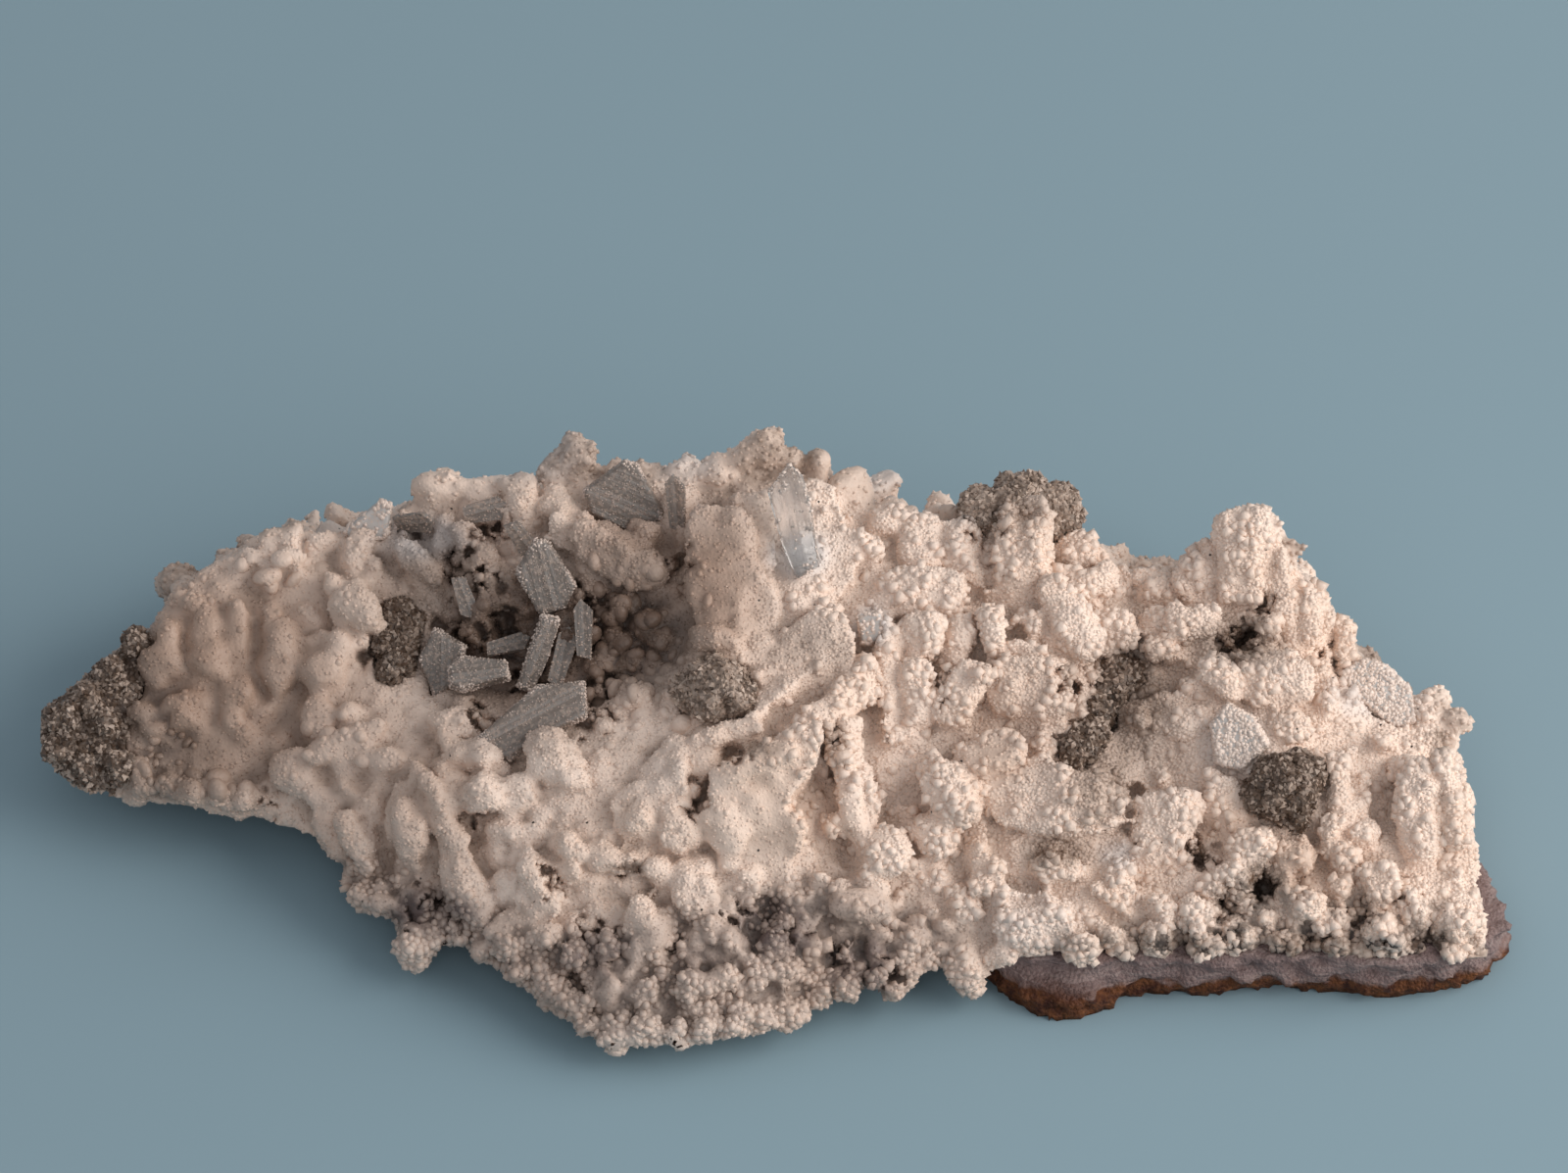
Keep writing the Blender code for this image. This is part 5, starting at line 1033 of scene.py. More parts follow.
def make_bubble_tree():
    """Node tree that raises rounded swellings of two sizes on a skin, less where it is smooth."""
    tree, source, target = new_group(
        "Bubbles", "GeometryNodeTree",
        (("Geometry", "NodeSocketGeometry", None),
         ("Large Size", "NodeSocketFloat", 0.0024), ("Large Height", "NodeSocketFloat", 0.0006),
         ("Small Size", "NodeSocketFloat", 0.001), ("Small Height", "NodeSocketFloat", 0.0003),
         ("Calm", "NodeSocketFloat", 0.0), ("Material", "NodeSocketMaterial", None)),
        (("Geometry", "NodeSocketGeometry"),))
    place = add_node(tree, "GeometryNodeInputPosition").outputs[0]
    noise = add_node(tree, "ShaderNodeTexNoise", {"Scale": 420.0, "Detail": 2.0})
    wire(tree, noise.inputs["Vector"], place)
    sway = vector_maths(tree, "SCALE",
                        vector_maths(tree, "SUBTRACT", noise.outputs["Color"], (0.5, 0.5, 0.5)),
                        1.4 * MM)
    bent = vector_maths(tree, "ADD", place, sway)
    offset = None
    for size, height, calm_share in (("Large Size", "Large Height", 0.7),
                                     ("Small Size", "Small Height", 0.5)):
        cells = add_node(tree, "ShaderNodeTexVoronoi")
        wire(tree, cells.inputs["Vector"], bent)
        wire(tree, cells.inputs["Scale"], maths(tree, "DIVIDE", 1.0, source.outputs[size]))
        spread = maths(tree, "MULTIPLY", cells.outputs["Distance"], 1.25)
        dome = maths(tree, "SUBTRACT", 0.55, maths(tree, "MULTIPLY", spread, spread))
        calm = maths(tree, "SUBTRACT", 1.0,
                     maths(tree, "MULTIPLY", source.outputs["Calm"], calm_share))
        rise = maths(tree, "MULTIPLY", maths(tree, "MULTIPLY", dome, source.outputs[height]), calm)
        offset = rise if offset is None else maths(tree, "ADD", offset, rise)
    normal = add_node(tree, "GeometryNodeInputNormal").outputs[0]
    move = add_node(tree, "GeometryNodeSetPosition")
    wire(tree, move.inputs["Geometry"], source.outputs["Geometry"])
    wire(tree, move.inputs["Offset"], vector_maths(tree, "SCALE", normal, offset))
    realized = add_node(tree, "GeometryNodeRealizeInstances")
    wire(tree, realized.inputs[0], move.outputs[0])
    finish = add_node(tree, "GeometryNodeSetMaterial")
    wire(tree, finish.inputs["Geometry"], realized.outputs[0])
    wire(tree, finish.inputs["Material"], source.outputs["Material"])
    wire(tree, target.inputs[0], finish.outputs[0])
    return tree


def random_number(tree, low, high, seed):
    """A random number for each point."""
    node = add_node(tree, "FunctionNodeRandomValue", {"Seed": seed}, data_type="FLOAT")
    wire(tree, node.inputs[2], low)
    wire(tree, node.inputs[3], high)
    return node.outputs[1]


def make_grain_tree():
    """Node tree that sets small crystals on a skin: sizes, spread, tilt and shapes are inputs."""
    tree, source, target = new_group(
        "Grains", "GeometryNodeTree",
        (("Geometry", "NodeSocketGeometry", None), ("Cover", "NodeSocketFloat", 1.0),
         ("Grain Size", "NodeSocketFloat", 0.0006), ("Size Factor", "NodeSocketFloat", 1.0),
         ("Spacing", "NodeSocketFloat", 0.0005), ("Density", "NodeSocketFloat", 3e6),
         ("Seed", "NodeSocketInt", 1), ("Tilt", "NodeSocketFloat", 0.6),
         ("Sink", "NodeSocketFloat", 0.2), ("Shapes", "NodeSocketCollection", None),
         ("Material", "NodeSocketMaterial", None)),
        (("Geometry", "NodeSocketGeometry"),))
    given = source.outputs
    spread = add_node(tree, "GeometryNodeDistributePointsOnFaces", distribute_method="POISSON")
    wire(tree, spread.inputs["Mesh"], given["Geometry"])
    wire(tree, spread.inputs["Distance Min"], given["Spacing"])
    wire(tree, spread.inputs["Density Max"], given["Density"])
    wire(tree, spread.inputs["Density Factor"], given["Cover"])
    wire(tree, spread.inputs["Seed"], given["Seed"])
    tint = add_node(tree, "GeometryNodeStoreNamedAttribute", {"Name": "tint"},
                    data_type="FLOAT", domain="POINT")
    wire(tree, tint.inputs["Geometry"], spread.outputs["Points"])
    wire(tree, tint.inputs["Value"], random_number(tree, 0.0, 1.0, 11))
    lean = add_node(tree, "ShaderNodeCombineXYZ")
    for axis, (low, high) in enumerate(((-1.0, 1.0), (-1.0, 1.0))):
        share = random_number(tree, low, high, 21 + axis)
        wire(tree, lean.inputs[axis], maths(tree, "MULTIPLY", share, given["Tilt"]))
    wire(tree, lean.inputs[2], random_number(tree, 0.0, 2.0 * math.pi, 23))
    as_turn = add_node(tree, "FunctionNodeEulerToRotation")
    wire(tree, as_turn.inputs[0], lean.outputs[0])
    turned = add_node(tree, "FunctionNodeRotateRotation", rotation_space="LOCAL")
    wire(tree, turned.inputs[0], spread.outputs["Rotation"])
    wire(tree, turned.inputs[1], as_turn.outputs[0])
    common = maths(tree, "MULTIPLY", given["Grain Size"],
                   maths(tree, "MULTIPLY", given["Size Factor"],
                         random_number(tree, 0.65, 1.4, 31)))
    size = add_node(tree, "ShaderNodeCombineXYZ")
    for axis, (low, high) in enumerate(((0.75, 1.2), (0.6, 1.0), (0.7, 1.25))):
        wire(tree, size.inputs[axis],
             maths(tree, "MULTIPLY", common, random_number(tree, low, high, 32 + axis)))
    sunk = add_node(tree, "GeometryNodeSetPosition")
    wire(tree, sunk.inputs["Geometry"], tint.outputs[0])
    down = maths(tree, "MULTIPLY", maths(tree, "MULTIPLY", common, given["Sink"]), -1.0)
    wire(tree, sunk.inputs["Offset"], vector_maths(tree, "SCALE", spread.outputs["Normal"], down))
    shapes = add_node(tree, "GeometryNodeCollectionInfo", {"Separate Children": True,
                                                           "Reset Children": True})
    wire(tree, shapes.inputs["Collection"], given["Shapes"])
    put = add_node(tree, "GeometryNodeInstanceOnPoints", {"Pick Instance": True})
    wire(tree, put.inputs["Points"], sunk.outputs[0])
    wire(tree, put.inputs["Instance"], shapes.outputs[0])
    which = add_node(tree, "FunctionNodeRandomValue", {"Seed": 41}, data_type="INT")
    which.inputs[4].default_value = 0
    which.inputs[5].default_value = 11
    wire(tree, put.inputs["Instance Index"], which.outputs[2])
    wire(tree, put.inputs["Rotation"], turned.outputs[0])
    wire(tree, put.inputs["Scale"], size.outputs[0])
    realized = add_node(tree, "GeometryNodeRealizeInstances")
    wire(tree, realized.inputs[0], put.outputs[0])
    finish = add_node(tree, "GeometryNodeSetMaterial")
    wire(tree, finish.inputs["Geometry"], realized.outputs[0])
    wire(tree, finish.inputs["Material"], given["Material"])
    wire(tree, target.inputs[0], finish.outputs[0])
    return tree


def run_tree(piece, tree_name, values, fields=None):
    """Runs a node tree on the piece and keeps the result as its plain mesh."""
    tree = bpy.data.node_groups[tree_name]
    modifier = piece.modifiers.new(tree_name, "NODES")
    modifier.node_group = tree
    key = {item.name: item.identifier for item in tree.interface.items_tree
           if item.in_out == "INPUT"}
    for label, value in values.items():
        modifier[key[label]] = value
    for label, attribute in (fields or {}).items():
        modifier[key[label] + "_use_attribute"] = True
        modifier[key[label] + "_attribute_name"] = attribute
    apply_modifiers(piece)


def double_pyramid(corners, radius, top, bottom, twist):
    """A small crystal: a ring of corners between a top and a bottom point."""
    shape = bmesh.new()
    ring = []
    for index in range(corners):
        angle = 2.0 * math.pi * index / corners + twist
        reach = radius * (1.0 + 0.25 * math.sin(2.7 * index + twist))
        ring.append(shape.verts.new((reach * math.cos(angle), reach * math.sin(angle), 0.0)))
    tips = [shape.verts.new((0.08, -0.05, top)), shape.verts.new((-0.05, 0.04, -bottom))]
    for index in range(corners):
        pair = (ring[index], ring[(index + 1) % corners])
        shape.faces.new((pair[0], pair[1], tips[0]))
        shape.faces.new((pair[1], pair[0], tips[1]))
    bmesh.ops.recalc_face_normals(shape, faces=shape.faces)
    return shape


def splinter(length, width, height):
    """The smallest crystal: a long three-cornered base under one point."""
    shape = bmesh.new()
    base = [shape.verts.new((x * length / 2, y * width / 2, -0.3 * height))
            for x, y in ((-1.0, -0.8), (1.0, -0.3), (-0.2, 1.0))]
    tip = shape.verts.new((0.15 * length, 0.05 * width, 0.7 * height))
    for first, second in ((0, 1), (1, 2), (2, 0)):
        shape.faces.new((base[first], base[second], tip))
    shape.faces.new((base[2], base[1], base[0]))
    bmesh.ops.recalc_face_normals(shape, faces=shape.faces)
    return shape


def pebble(width, height, twist):
    """A rounded grain of eight faces: two three-cornered rings, one turned against the other."""
    shape = bmesh.new()
    rings = []
    for lift, turn in ((-0.5, twist), (0.5, twist + math.pi / 3.0)):
        rings.append([shape.verts.new((0.5 * width * math.cos(turn + index * math.pi / 1.5),
                                       0.5 * width * math.sin(turn + index * math.pi / 1.5),
                                       lift * height)) for index in range(3)])
    low, high = rings
    for index in range(3):
        after = (index + 1) % 3
        shape.faces.new((low[index], low[after], high[index]))
        shape.faces.new((high[after], high[index], low[after]))
    shape.faces.new(low)
    shape.faces.new(high)
    bmesh.ops.recalc_face_normals(shape, faces=shape.faces)
    return shape


def ball(fineness):
    """A ball one unit wide, of 20 faces at fineness 1 and 80 at 2."""
    shape = bmesh.new()
    bmesh.ops.create_icosphere(shape, subdivisions=fineness, radius=0.5)
    return shape


def block(length, width, height, lift):
    """A blunt bar that leans out of the ground: its middle is lifted by a share of its length."""
    shape = bmesh.new()
    place = Matrix.Translation((0.0, 0.0, lift)) @ Matrix.Rotation(-0.35, 4, "Y")
    bmesh.ops.create_cube(shape, size=1.0, matrix=place @ Matrix.Diagonal((length, width, height, 1.0)))
    return shape


def make_shapes():
    """The few shapes that every grain and small growth is a copy of, in collections of their own."""
    for name, made in (
            ("grain shapes", (splinter(1.0, 1.0, 1.0), splinter(1.15, 1.0, 0.75),
                              splinter(0.95, 1.05, 1.2), splinter(1.3, 0.9, 0.9))),
            ("pebble shapes", (pebble(1.15, 0.8, 0.0), pebble(1.05, 0.95, 0.5),
                               pebble(1.25, 0.65, 0.9))),
            ("block shapes", (double_pyramid(4, 0.52, 0.5, 0.4, 0.0),
                              double_pyramid(4, 0.5, 0.35, 0.35, 0.7),
                              double_pyramid(3, 0.55, 0.5, 0.35, 0.4))),
            ("ball shapes", (ball(2),)),
            ("knob shapes", (ball(1),)),
            ("blade shapes", (block(1.0, 0.36, 0.24, 0.12), block(0.8, 0.3, 0.3, 0.2),
                              block(1.1, 0.42, 0.2, 0.08)))):
        shapes = bpy.data.collections.new(name)
        bpy.context.scene.collection.children.link(shapes)
        for shape in made:
            mesh = bpy.data.meshes.new(name)
            shape.to_mesh(mesh)
            shape.free()
            shapes.objects.link(bpy.data.objects.new(name, mesh))


def remove_shapes():
    """Takes the shapes away once every grain is made."""
    for name in ("grain shapes", "pebble shapes", "block shapes", "knob shapes", "ball shapes", "blade shapes"):
        shapes = bpy.data.collections[name]
        for shape in list(shapes.objects):
            bpy.data.objects.remove(shape)
        bpy.data.collections.remove(shapes)


def set_grains(name, skin, cover, values, material):
    """Makes a piece of grains on a skin mesh and lets it ride on the specimen."""
    piece = new_mesh_object(name, skin.copy())
    settings = {"Shapes": bpy.data.collections["grain shapes"], "Material": material}
    settings.update(values)
    run_tree(piece, "Grains", settings, {"Cover": cover, "Size Factor": "size_factor"})
    keep_in_box(piece)
    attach(piece, "root")
    return piece


class MakeFinishes(bpy.types.Operator):
    """Builds the shared node groups, the grain shapes and every material"""

    bl_idname = "gypsum.make_finishes"
    bl_label = "Finishes"

    def execute(self, context):
        colours = context.scene.gypsum_colours
        make_stain_group()
        make_speck_group()
        make_relief_group()
        make_bubble_tree()
        make_grain_tree()
        make_shapes()
        make_crust_materials(colours)
        make_grain_material(colours)
        make_nodule_material(colours)
        make_rock_material(colours)
        make_clear_materials(colours)
        make_floor_material(colours)
        return {"FINISHED"}


class MakeCrust(bpy.types.Operator):
    """Grows the white crust: the CAD crust with small lumps, blades and swellings on it"""

    bl_idname = "gypsum.make_crust"
    bl_label = "Crust"

    def execute(self, context):
        sizes = context.scene.gypsum_sizes
        crust = to_object("crust", merged_copy(["gypsum_crust"]))
        voxel_skin(crust, 1.0 * MM, 1)
        body = grow_small_forms(crust.data, sizes.seed)
        placed = place_forms(crust.data, sizes.seed)
        placed.to_mesh(crust.data)
        placed.free()
        body.from_mesh(crust.data)
        body.from_mesh(frame["nodes"]["gypsum_crust"].data)
        bmesh.ops.remove_doubles(body, verts=body.verts, dist=1e-6)
        body.to_mesh(crust.data)
        body.free()
        voxel_skin(crust, sizes.crust_detail, 3)
        sink_gaps(crust.data)
        roughen(crust.data)
        raise_relief(crust.data, 0.35, 0.9, 12, 0.55 * MM)
        points = points_of(crust.data)
        calm = np.maximum(crust_masks(points)["smooth"], 0.85 * ramp(points[:, 0] / MM, -10.0, 10.0))
        store(crust.data, "calm", calm)
        run_tree(crust, "Bubbles", {
            "Large Size": sizes.bubble, "Large Height": sizes.bubble_height,
            "Small Size": sizes.bead, "Small Height": sizes.bead_height,
            "Material": bpy.data.materials["gypsum crust"]}, {"Calm": "calm"})
        thin_out(crust, 185000)
        keep_in_box(crust)
        mesh = crust.data
        for name, values in crust_masks(points_of(mesh)).items():
            store(mesh, name, values)
        # Painted shade: the crevices and hollows are darkened in colour, less towards the right.
        pit = np.maximum(0.5 * ramp(hollowness(mesh, 8, 0.5 * MM), 0.58, 0.95),
                         ramp(hollowness(mesh, 60, 2.5 * MM), 0.55, 0.82))
        points = points_of(mesh)
        store(mesh, "pit", pit * (0.9 - 0.45 * ramp(points[:, 0] / MM, -15.0, 15.0)))
        across, up = seen_from_front(points)
        # Painted shadow in the crevices of these places, and real dark ground in patches on the right.
        bare = places(across, up, GROUND_AND_SHADOW_PLACES)
        grimy_and_shaded = np.clip(1.5 * stored(mesh, "lilac") + bare, 0.0, 1.0)
        crevice_shadow = grimy_and_shaded * ramp(hollowness(mesh, 7, 0.35 * MM), 0.4, 0.75)
        patchy = bare * ramp(waves(points, 3.2, 71), 0.5, 0.62) * (points[:, 0] > 0.0)
        store(mesh, "gap", np.maximum(stored(mesh, "gap"), 0.9 * np.maximum(crevice_shadow, patchy)))
        mesh.materials.clear()
        mesh.materials.append(bpy.data.materials["gypsum crust"])
        mesh.shade_smooth()
        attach(crust, "root")
        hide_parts("gypsum_crust")
        return {"FINISHED"}


class MakeSugar(bpy.types.Operator):
    """Coats the crust with sugary grains, in one piece for each side of the specimen"""

    bl_idname = "gypsum.make_sugar"
    bl_label = "Sugar grains"

    def execute(self, context):
        sizes = context.scene.gypsum_sizes
        material = bpy.data.materials["gypsum grains"]
        skin = bpy.data.objects["crust"].data.copy()
        points = points_of(skin)
        masks = crust_masks(points)
        front = on_front(points) > 0.5
        normals = normals_of(skin)
        fringe = front & (masks["fringe"] > 0.45)
        x = points[:, 0] / MM
        outside = ramp(normals[:, 2], -0.9, -0.3)
        cover = (outside * (1.0 - 0.6 * masks["smooth"]) * (1.0 - 0.4 * masks["cool"])
                 * (1.0 - 0.8 * stored(skin, "gap")))
        right = ramp(x, -5.0, 30.0)
        store(skin, "size_factor", 1.15 + 0.2 * right + 0.3 * masks["coarse"]
              - 0.2 * masks["smooth"] + 0.3 * ~front)
        body = front & ~fringe
        zones = [("fringe", fringe, 0.68, 0.3), ("back", ~front, 1.7, 0.2)]
        for zone, start, end, spacing, sink in (
                ("left", -200.0, -30.0, 0.97, 0.28), ("middle", -30.0, 0.0, 0.89, 0.28),
                ("bars", 0.0, 28.0, 0.77, 0.26), ("right", 28.0, 58.0, 0.76, 0.22),
                ("end", 58.0, 200.0, 0.76, 0.22)):
            zones.append((zone, body & (x >= start) & (x < end), spacing, sink))
        for number, (zone, inside, spacing, sink) in enumerate(zones):
            store(skin, "cover", cover * inside)
            values = {"Grain Size": sizes.grain, "Spacing": sizes.grain * spacing,
                      "Density": 16e6 if spacing < 1.0 else 5e6, "Seed": sizes.seed + number,
                      "Sink": sink}
            if zone != "fringe":
                values["Shapes"] = bpy.data.collections["pebble shapes"]
            grains = set_grains("sugar_" + zone, skin, "cover", values, material)
            grains.data.shade_smooth()
        # The knobs take only a fifth of the painted gap shadow and less of the lilac.
        store(skin, "gap", 0.2 * stored(skin, "gap"))
        store(skin, "lilac", 0.75 * stored(skin, "lilac"))
        store(skin, "size_factor", np.ones(len(points)))
        across, up = seen_from_front(points)
        ridges = (1.0 - ramp(hollowness(skin, 8, 0.5 * MM), 0.1, 0.3)) * (1.0 - masks["fringe"])
        ridges *= ramp(waves(points, 7.0, 63), 0.2, 0.6)
        for name, where, shapes, size, spacing, sink in (
                ("fringe_knobs", masks["fringe"] * ramp(waves(points, 9.0, 61), 0.15, 0.6),
                 "knob shapes", 1.3, 0.78, 0.15),
                ("edge_knobs", places(across, up, EDGE_PLACES), "knob shapes", 1.5, 1.0, 0.15),
                ("hollow_lumps", places(across, up, LUMPY_PLACES), "ball shapes", 2.5, 1.7, 0.3),
                ("left_ridges", np.maximum(ridges, 0.12) * (1.0 - ramp(x, -4.0, 4.0)),
                 "knob shapes", 1.05, 0.88, 0.28),
                ("right_ridges", np.maximum(ridges, 0.12) * ramp(x, -4.0, 4.0), "pebble shapes",
                 1.3, 0.8, 0.1)):
            store(skin, "cover", where * front)
            knobs = set_grains(name, skin, "cover", {
                "Shapes": bpy.data.collections[shapes], "Grain Size": size * MM,
                "Spacing": spacing * MM, "Density": 8e6, "Seed": sizes.seed, "Tilt": 0.4,
                "Sink": sink}, bpy.data.materials["gypsum knobs"])
            knobs.data.shade_smooth()
        bpy.data.meshes.remove(skin)
        return {"FINISHED"}


class MakeNodules(bpy.types.Operator):
    """Dresses the six dark nodules with lumps and small dark crystals"""

    bl_idname = "gypsum.make_nodules"
    bl_label = "Dark nodules"

    def execute(self, context):
        sizes = context.scene.gypsum_sizes
        material = bpy.data.materials["sulphide druse"]
        for node, dusty in zip(NODULES, NODULE_DUST):
            piece = to_object(node + "_druse", merged_copy([node]))
            voxel_skin(piece, 0.42 * MM, 2)
            run_tree(piece, "Bubbles", {
                "Large Size": 2.4 * MM, "Large Height": 1.0 * MM,
                "Small Size": 0.8 * MM, "Small Height": 0.5 * MM, "Calm": 0.0,
                "Material": material})
            thin_out(piece, 14000 if node == "sulphide_nose" else 3500)
            keep_in_box(piece)
            mesh = piece.data
            store(mesh, "tint", 0.1 + 0.35 * waves(points_of(mesh), 3.0, 4))
            # Painted shade: the light dust is kept off the hollows, so they come out darker.
            pit = ramp(hollowness(mesh, 8, 0.6 * MM), 0.5, 0.9)
            store(mesh, "dusty", dusty * (1.0 - 0.7 * pit))
            store(mesh, "size_factor", np.ones(len(mesh.vertices)))
            store(mesh, "cover", 0.2 + 0.8 * (1.0 - ramp(hollowness(mesh, 8, 0.6 * MM), 0.6, 0.9)))
            mesh.materials.clear()
            mesh.materials.append(material)
            mesh.shade_smooth()
            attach(piece, "root")
            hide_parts(node)
            values = {"Grain Size": sizes.dark_grain, "Spacing": sizes.dark_grain * 0.5,
                      "Density": 12.0e6, "Seed": sizes.seed, "Tilt": 1.0, "Sink": 0.0}
            values["Shapes"] = bpy.data.collections["block shapes"]
            set_grains(node + "_crystals", mesh, "cover", values, material)
        return {"FINISHED"}


class MakeRock(bpy.types.Operator):
    """Breaks the slab into ragged layers and keeps its underside flat"""

    bl_idname = "gypsum.make_rock"
    bl_label = "Rock slab"

    def execute(self, context):
        sizes = context.scene.gypsum_sizes
        rock = to_object("rock", merged_copy(["rock_slab"]))
        voxel_skin(rock, sizes.rock_detail, 2)
        points = points_of(rock.data)
        normals = normals_of(rock.data)
        height = points[:, 2] / MM
        side = 1.0 - np.abs(normals[:, 2])
        ledge = np.sin(height * 2.9 + 2.5 * waves(points, 18.0, 21)) * 0.28
        chips = (waves(points, 3.2, 22) - 0.5) * 1.1 + (waves(points, 1.5, 23) - 0.5) * 0.6
        push = side * (ledge + chips) * MM
        set_points(rock.data, points + normals * np.where(height < 0.4, 0.0, push)[:, None])
        run_tree(rock, "Bubbles", {
            "Large Size": 1.5 * MM, "Large Height": 0.45 * MM,
            "Small Size": 0.8 * MM, "Small Height": 0.25 * MM, "Calm": 0.0,
            "Material": bpy.data.materials["layered rock"]})
        points = points_of(rock.data)
        points[:, 2] = np.where(points[:, 2] < 0.6 * MM, 0.0, points[:, 2])
        set_points(rock.data, points)
        thin_out(rock, 42000)
        keep_in_box(rock)
        across, up = seen_from_front(points_of(rock.data))
        store(rock.data, "brown", places(across, up, ROCK_FOOT))
        rock.data.materials.clear()
        rock.data.materials.append(bpy.data.materials["layered rock"])
        rock.data.shade_smooth()
        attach(rock, "root")
        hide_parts("rock_slab")
        return {"FINISHED"}


def make_shards(skin, seed):
    """One object of thin pointed blades that lean out of the hollow."""
    trees = sight_trees(skin)
    draw = np.random.default_rng(seed)
    outline = ((-0.5, -0.3), (0.3, -0.5), (0.5, 0.1), (0.34, 0.5), (-0.42, 0.42))
    shape = bmesh.new()
    streaks = []
    for across, up, length, width, angle in SHARDS:
        found = meet_crust(*trees, across, up)
        if found is None:
            continue
        normal = (SIGHT * 0.8 + Vector(draw.normal(size=3)) * 0.32).normalized()
        long_way, side_way = lie_along(normal, math.radians(angle))
        middle = found[0] + SIGHT * 1.3 * MM
        rings = []
        for lift in (-0.28, 0.28):
            rings.append([shape.verts.new(middle + (long_way * x * length + side_way * y * width
                                                    + normal * lift) * MM) for x, y in outline])
            streaks.extend(y * width for _, y in outline)
        for index in range(len(outline)):
            after = (index + 1) % len(outline)
            shape.faces.new((rings[0][index], rings[0][after], rings[1][after], rings[1][index]))
        shape.faces.new(rings[0])
        shape.faces.new(rings[1])
    bmesh.ops.recalc_face_normals(shape, faces=shape.faces)
    shards = to_object("shards", shape)
    store(shards.data, "streak", np.array(streaks))
    return shards


def side_of(points, centre, axes):
    """How far each point lies from the middle line of a plate, in mm."""
    return (points - centre) @ axes[1] / MM


class MakePlates(bpy.types.Operator):
    """Makes the clear selenite plates with growth lines, and the frost on them"""

    bl_idname = "gypsum.make_plates"
    bl_label = "Selenite plates"

    def execute(self, context):
        sizes = context.scene.gypsum_sizes
        for number, node in enumerate(PLATES):
            shape = merged_copy([node])
            piece = to_object(node + "_plate", shape)
            voxel_skin(piece, 0.3 * MM, 2)
            points = points_of(piece.data)
            normals = normals_of(piece.data)
            centre = points.mean(axis=0)
            _, _, axes = np.linalg.svd(points - centre, full_matrices=False)
            side = side_of(points, centre, axes)
            lines = (np.sin(side * 4.3 + number) * waves(points, 5.0, number)
                     + np.sin(side * 9.7 + 2.0 * number) * waves(points, 3.0, number + 20)) * 0.7
            flat = np.abs(normals @ axes[2])
            points += normals * (lines * flat * 0.09 * MM)[:, None]
            set_points(piece.data, points)
            thin_out(piece, 2400)
            keep_in_box(piece)
            mesh = piece.data
            mesh.materials.clear()
            dusty = node in DUSTY_PLATES
            kind = "dusty" if dusty else "milky" if node in MILKY_PLATES else "clear"
            mesh.materials.append(bpy.data.materials[kind + " selenite"])
            mesh.shade_smooth()
            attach(piece, "root")
            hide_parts(node)
            points = points_of(mesh)
            flat_places = np.abs((points - centre) @ axes[:2].T)
            rim = (flat_places / flat_places.max(axis=0)).max(axis=1)
            store(mesh, "streak", (points - centre) @ (axes[1] + 0.04 * axes[0]) / MM)
            patches = ramp(waves(points, 3.0, number), 0.35, 0.7)
            rows = ramp(np.sin(side_of(points, centre, axes) * 2.6 + number), 0.2, 0.8)
            frost = FROST.get(node, 0.5 if dusty else 0.3)
            edge = ramp(rim, 0.65, 0.9) * (0.6 + 0.4 * patches) * min(1.0, 4.0 * frost)
            cover = frost + edge + 1.5 * frost * rows * patches
            store(mesh, "cover", np.clip(cover, 0.0, 1.0))
            size = {"dusty": 0.65, "milky": 1.5, "clear": 1.0}[kind]
            store(mesh, "size_factor", size + 0.35 * ramp(rim, 0.72, 0.92))
            store(mesh, "cool", np.full(len(points), 0.25))
            # The dusty plates in the hollow get painted shade and grey dust on their frost.
            store(mesh, "shade_and_grime", np.full(len(points), 0.4 if dusty else 0.0))
            store(mesh, "grey", (0.55 if dusty else 0.0) * (1.0 - ramp(rim, 0.65, 0.85)))
            values = {"Grain Size": sizes.frost_grain, "Spacing": sizes.frost_grain * 0.7,
                      "Density": 12.0e6, "Seed": sizes.seed + number,
                      "Shapes": bpy.data.collections["pebble shapes"]}
            frost = set_grains(node + "_frost", mesh, "cover", values,
                               bpy.data.materials["gypsum grains"])
            frost.data.shade_smooth()
        shards = make_shards(bpy.data.objects["crust"].data, sizes.seed)
        mesh = shards.data
        mesh.materials.append(bpy.data.materials["dusty selenite"])
        keep_in_box(shards)
        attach(shards, "root")
        # The shards' frost gets the same painted shade and grey dust as the dusty plates.
        for name, value in (("cover", 0.5), ("size_factor", 0.65), ("shade_and_grime", 0.4), ("grey", 0.3)):
            store(mesh, name, np.full(len(mesh.vertices), value))
        frost = set_grains("shard_frost", mesh, "cover", values,
                           bpy.data.materials["gypsum grains"])
        frost.data.shade_smooth()
        return {"FINISHED"}


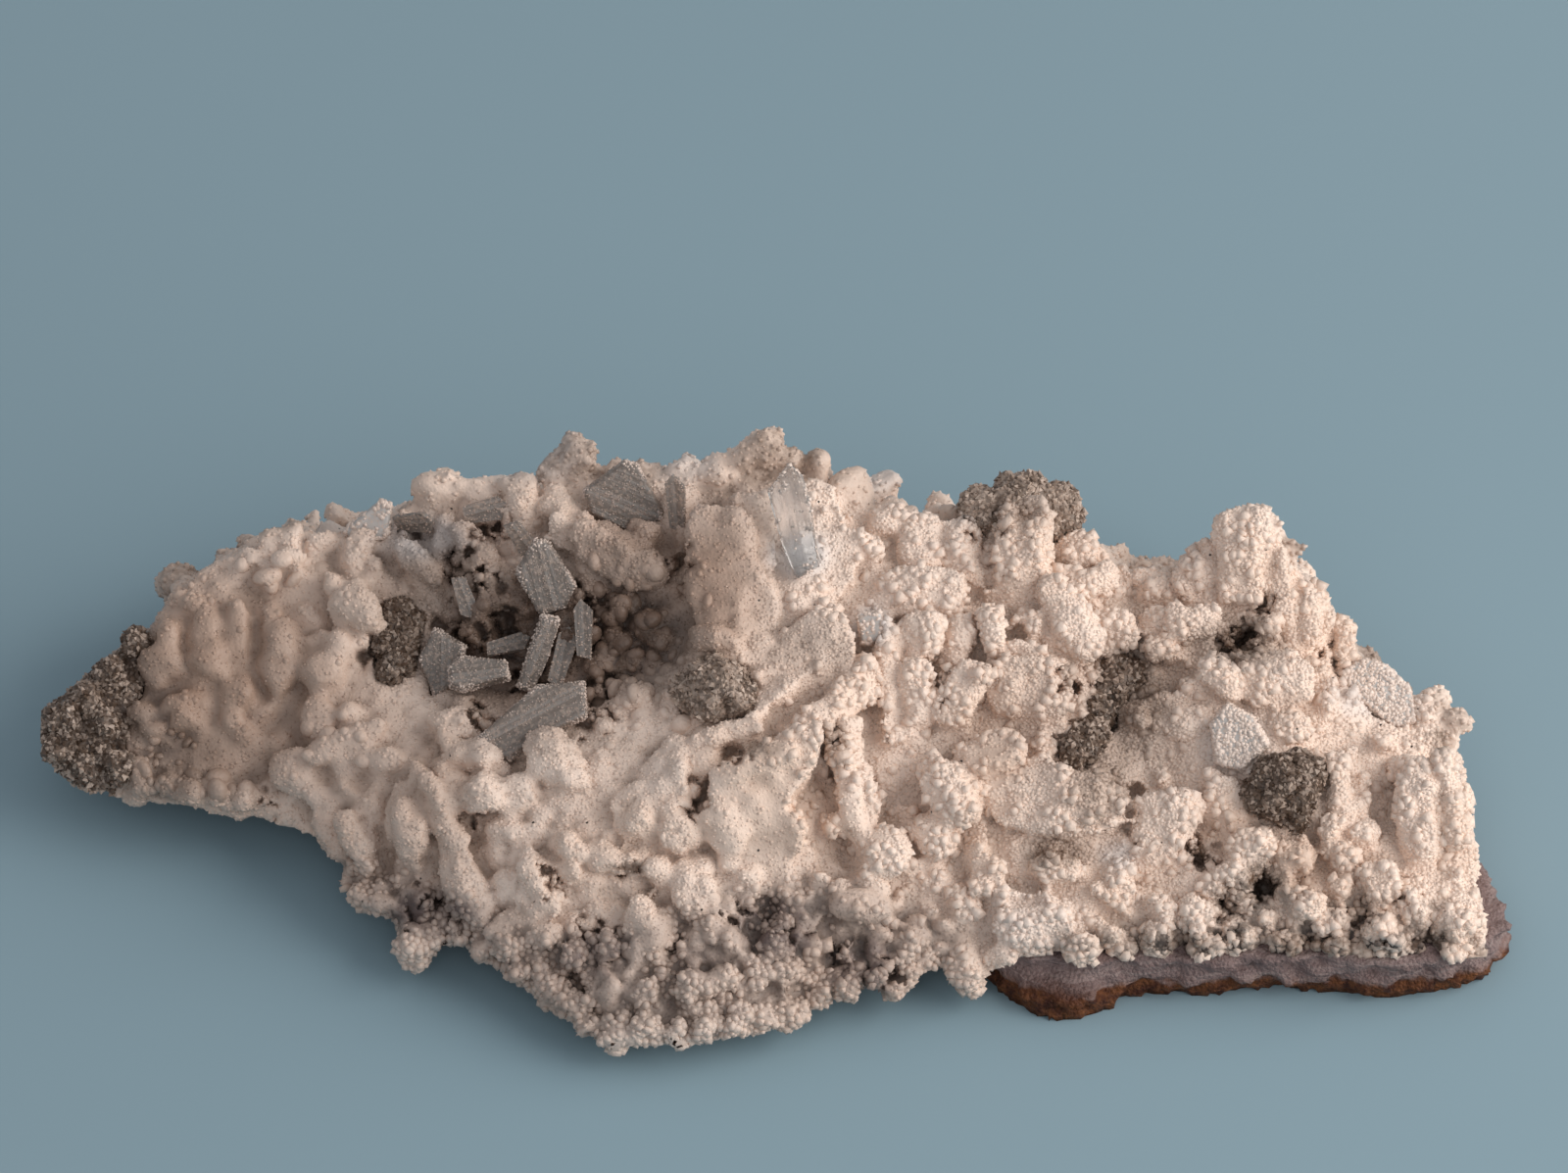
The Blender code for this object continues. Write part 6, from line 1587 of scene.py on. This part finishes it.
class MakeStage(bpy.types.Operator):
    """Sets the floor, the soft light and the camera at the photograph's angle"""

    bl_idname = "gypsum.make_stage"
    bl_label = "Floor, light and camera"

    def execute(self, context):
        sizes = context.scene.gypsum_sizes
        scene = context.scene
        shape = bmesh.new()
        bmesh.ops.create_grid(shape, x_segments=1, y_segments=1, size=4.0)
        floor = to_object("floor", shape)
        floor.data.materials.append(bpy.data.materials["pale floor"])
        world = bpy.data.worlds.new("soft room")
        world.use_nodes = True
        sky = world.node_tree.nodes["Background"]
        sky.inputs["Color"].default_value = (0.95, 0.96, 1.0, 1.0)
        sky.inputs["Strength"].default_value = 0.385
        scene.world = world
        middle = Vector((0.0, 0.0, 0.02))
        for name, direction, distance, width, power, colour in (
                ("key light", (0.92, -0.18, 0.42), 0.9, 1.1, 9.8, (1.0, 0.95, 0.9)),
                ("fill light", (-0.1, -0.8, 0.7), 1.4, 0.9, 1.6, (0.98, 0.98, 1.0))):
            lamp = bpy.data.lights.new(name, "AREA")
            lamp.shape = "DISK"
            lamp.size = width
            lamp.energy = power
            lamp.color = colour
            holder = bpy.data.objects.new(name, lamp)
            scene.collection.objects.link(holder)
            towards = Vector(direction).normalized()
            holder.location = middle + towards * distance
            holder.rotation_euler = towards.to_track_quat("Z", "Y").to_euler()
        camera = bpy.data.cameras.new("camera")
        camera.sensor_width = 36.0
        view_width = PHOTO_MIDDLE[0] * 2.0 * PIXEL * MM
        camera.lens = camera.sensor_width * sizes.camera_distance / view_width
        camera.clip_end = 20.0
        eye = bpy.data.objects.new("camera", camera)
        scene.collection.objects.link(eye)
        back = Vector((0.0, -math.cos(VIEW_ANGLE), math.sin(VIEW_ANGLE)))
        upward = Vector((0.0, math.sin(VIEW_ANGLE), math.cos(VIEW_ANGLE)))
        up = (ZERO_PIXEL[1] - PHOTO_MIDDLE[1]) * PIXEL * MM
        on_sight = Vector((0.0, SIGHT_ZERO / 2 * MM, SIGHT_ZERO / 2 * MM))
        eye.location = on_sight + upward * up + back * sizes.camera_distance
        eye.rotation_euler = (VIEW_ANGLE, 0.0, 0.0)
        scene.camera = eye
        scene.view_settings.view_transform = "Standard"
        return {"FINISHED"}


class GypsumPanel(bpy.types.Panel):
    """Lists the specimen's operators and values in the sidebar"""

    bl_idname = "VIEW3D_PT_gypsum"
    bl_label = "Gypsum specimen"
    bl_space_type = "VIEW_3D"
    bl_region_type = "UI"
    bl_category = "Gypsum"

    def draw(self, context):
        for operator in OPERATORS:
            self.layout.operator(operator.bl_idname)
        for values in (context.scene.gypsum_sizes, context.scene.gypsum_colours):
            for name in values.bl_rna.properties.keys():
                if name not in ("rna_type", "name"):
                    self.layout.prop(values, name)


OPERATORS = (MakeFinishes, MakeCrust, MakeSugar, MakeNodules, MakeRock, MakePlates, MakeStage)
CLASSES = (GypsumSizes, GypsumColours, *OPERATORS, GypsumPanel)


def register():
    """Registers the classes and hangs the values on the scene."""
    for item in CLASSES:
        bpy.utils.register_class(item)
    bpy.types.Scene.gypsum_sizes = PointerProperty(type=GypsumSizes)
    bpy.types.Scene.gypsum_colours = PointerProperty(type=GypsumColours)


def unregister():
    """Takes the values and classes away again."""
    del bpy.types.Scene.gypsum_colours
    del bpy.types.Scene.gypsum_sizes
    for item in reversed(CLASSES):
        bpy.utils.unregister_class(item)


def main():
    register()
    bpy.ops.gypsum.make_finishes()
    bpy.ops.gypsum.make_crust()
    bpy.ops.gypsum.make_sugar()
    bpy.ops.gypsum.make_nodules()
    bpy.ops.gypsum.make_rock()
    bpy.ops.gypsum.make_plates()
    remove_shapes()
    bpy.ops.gypsum.make_stage()


if __name__ == "__main__":
    main()
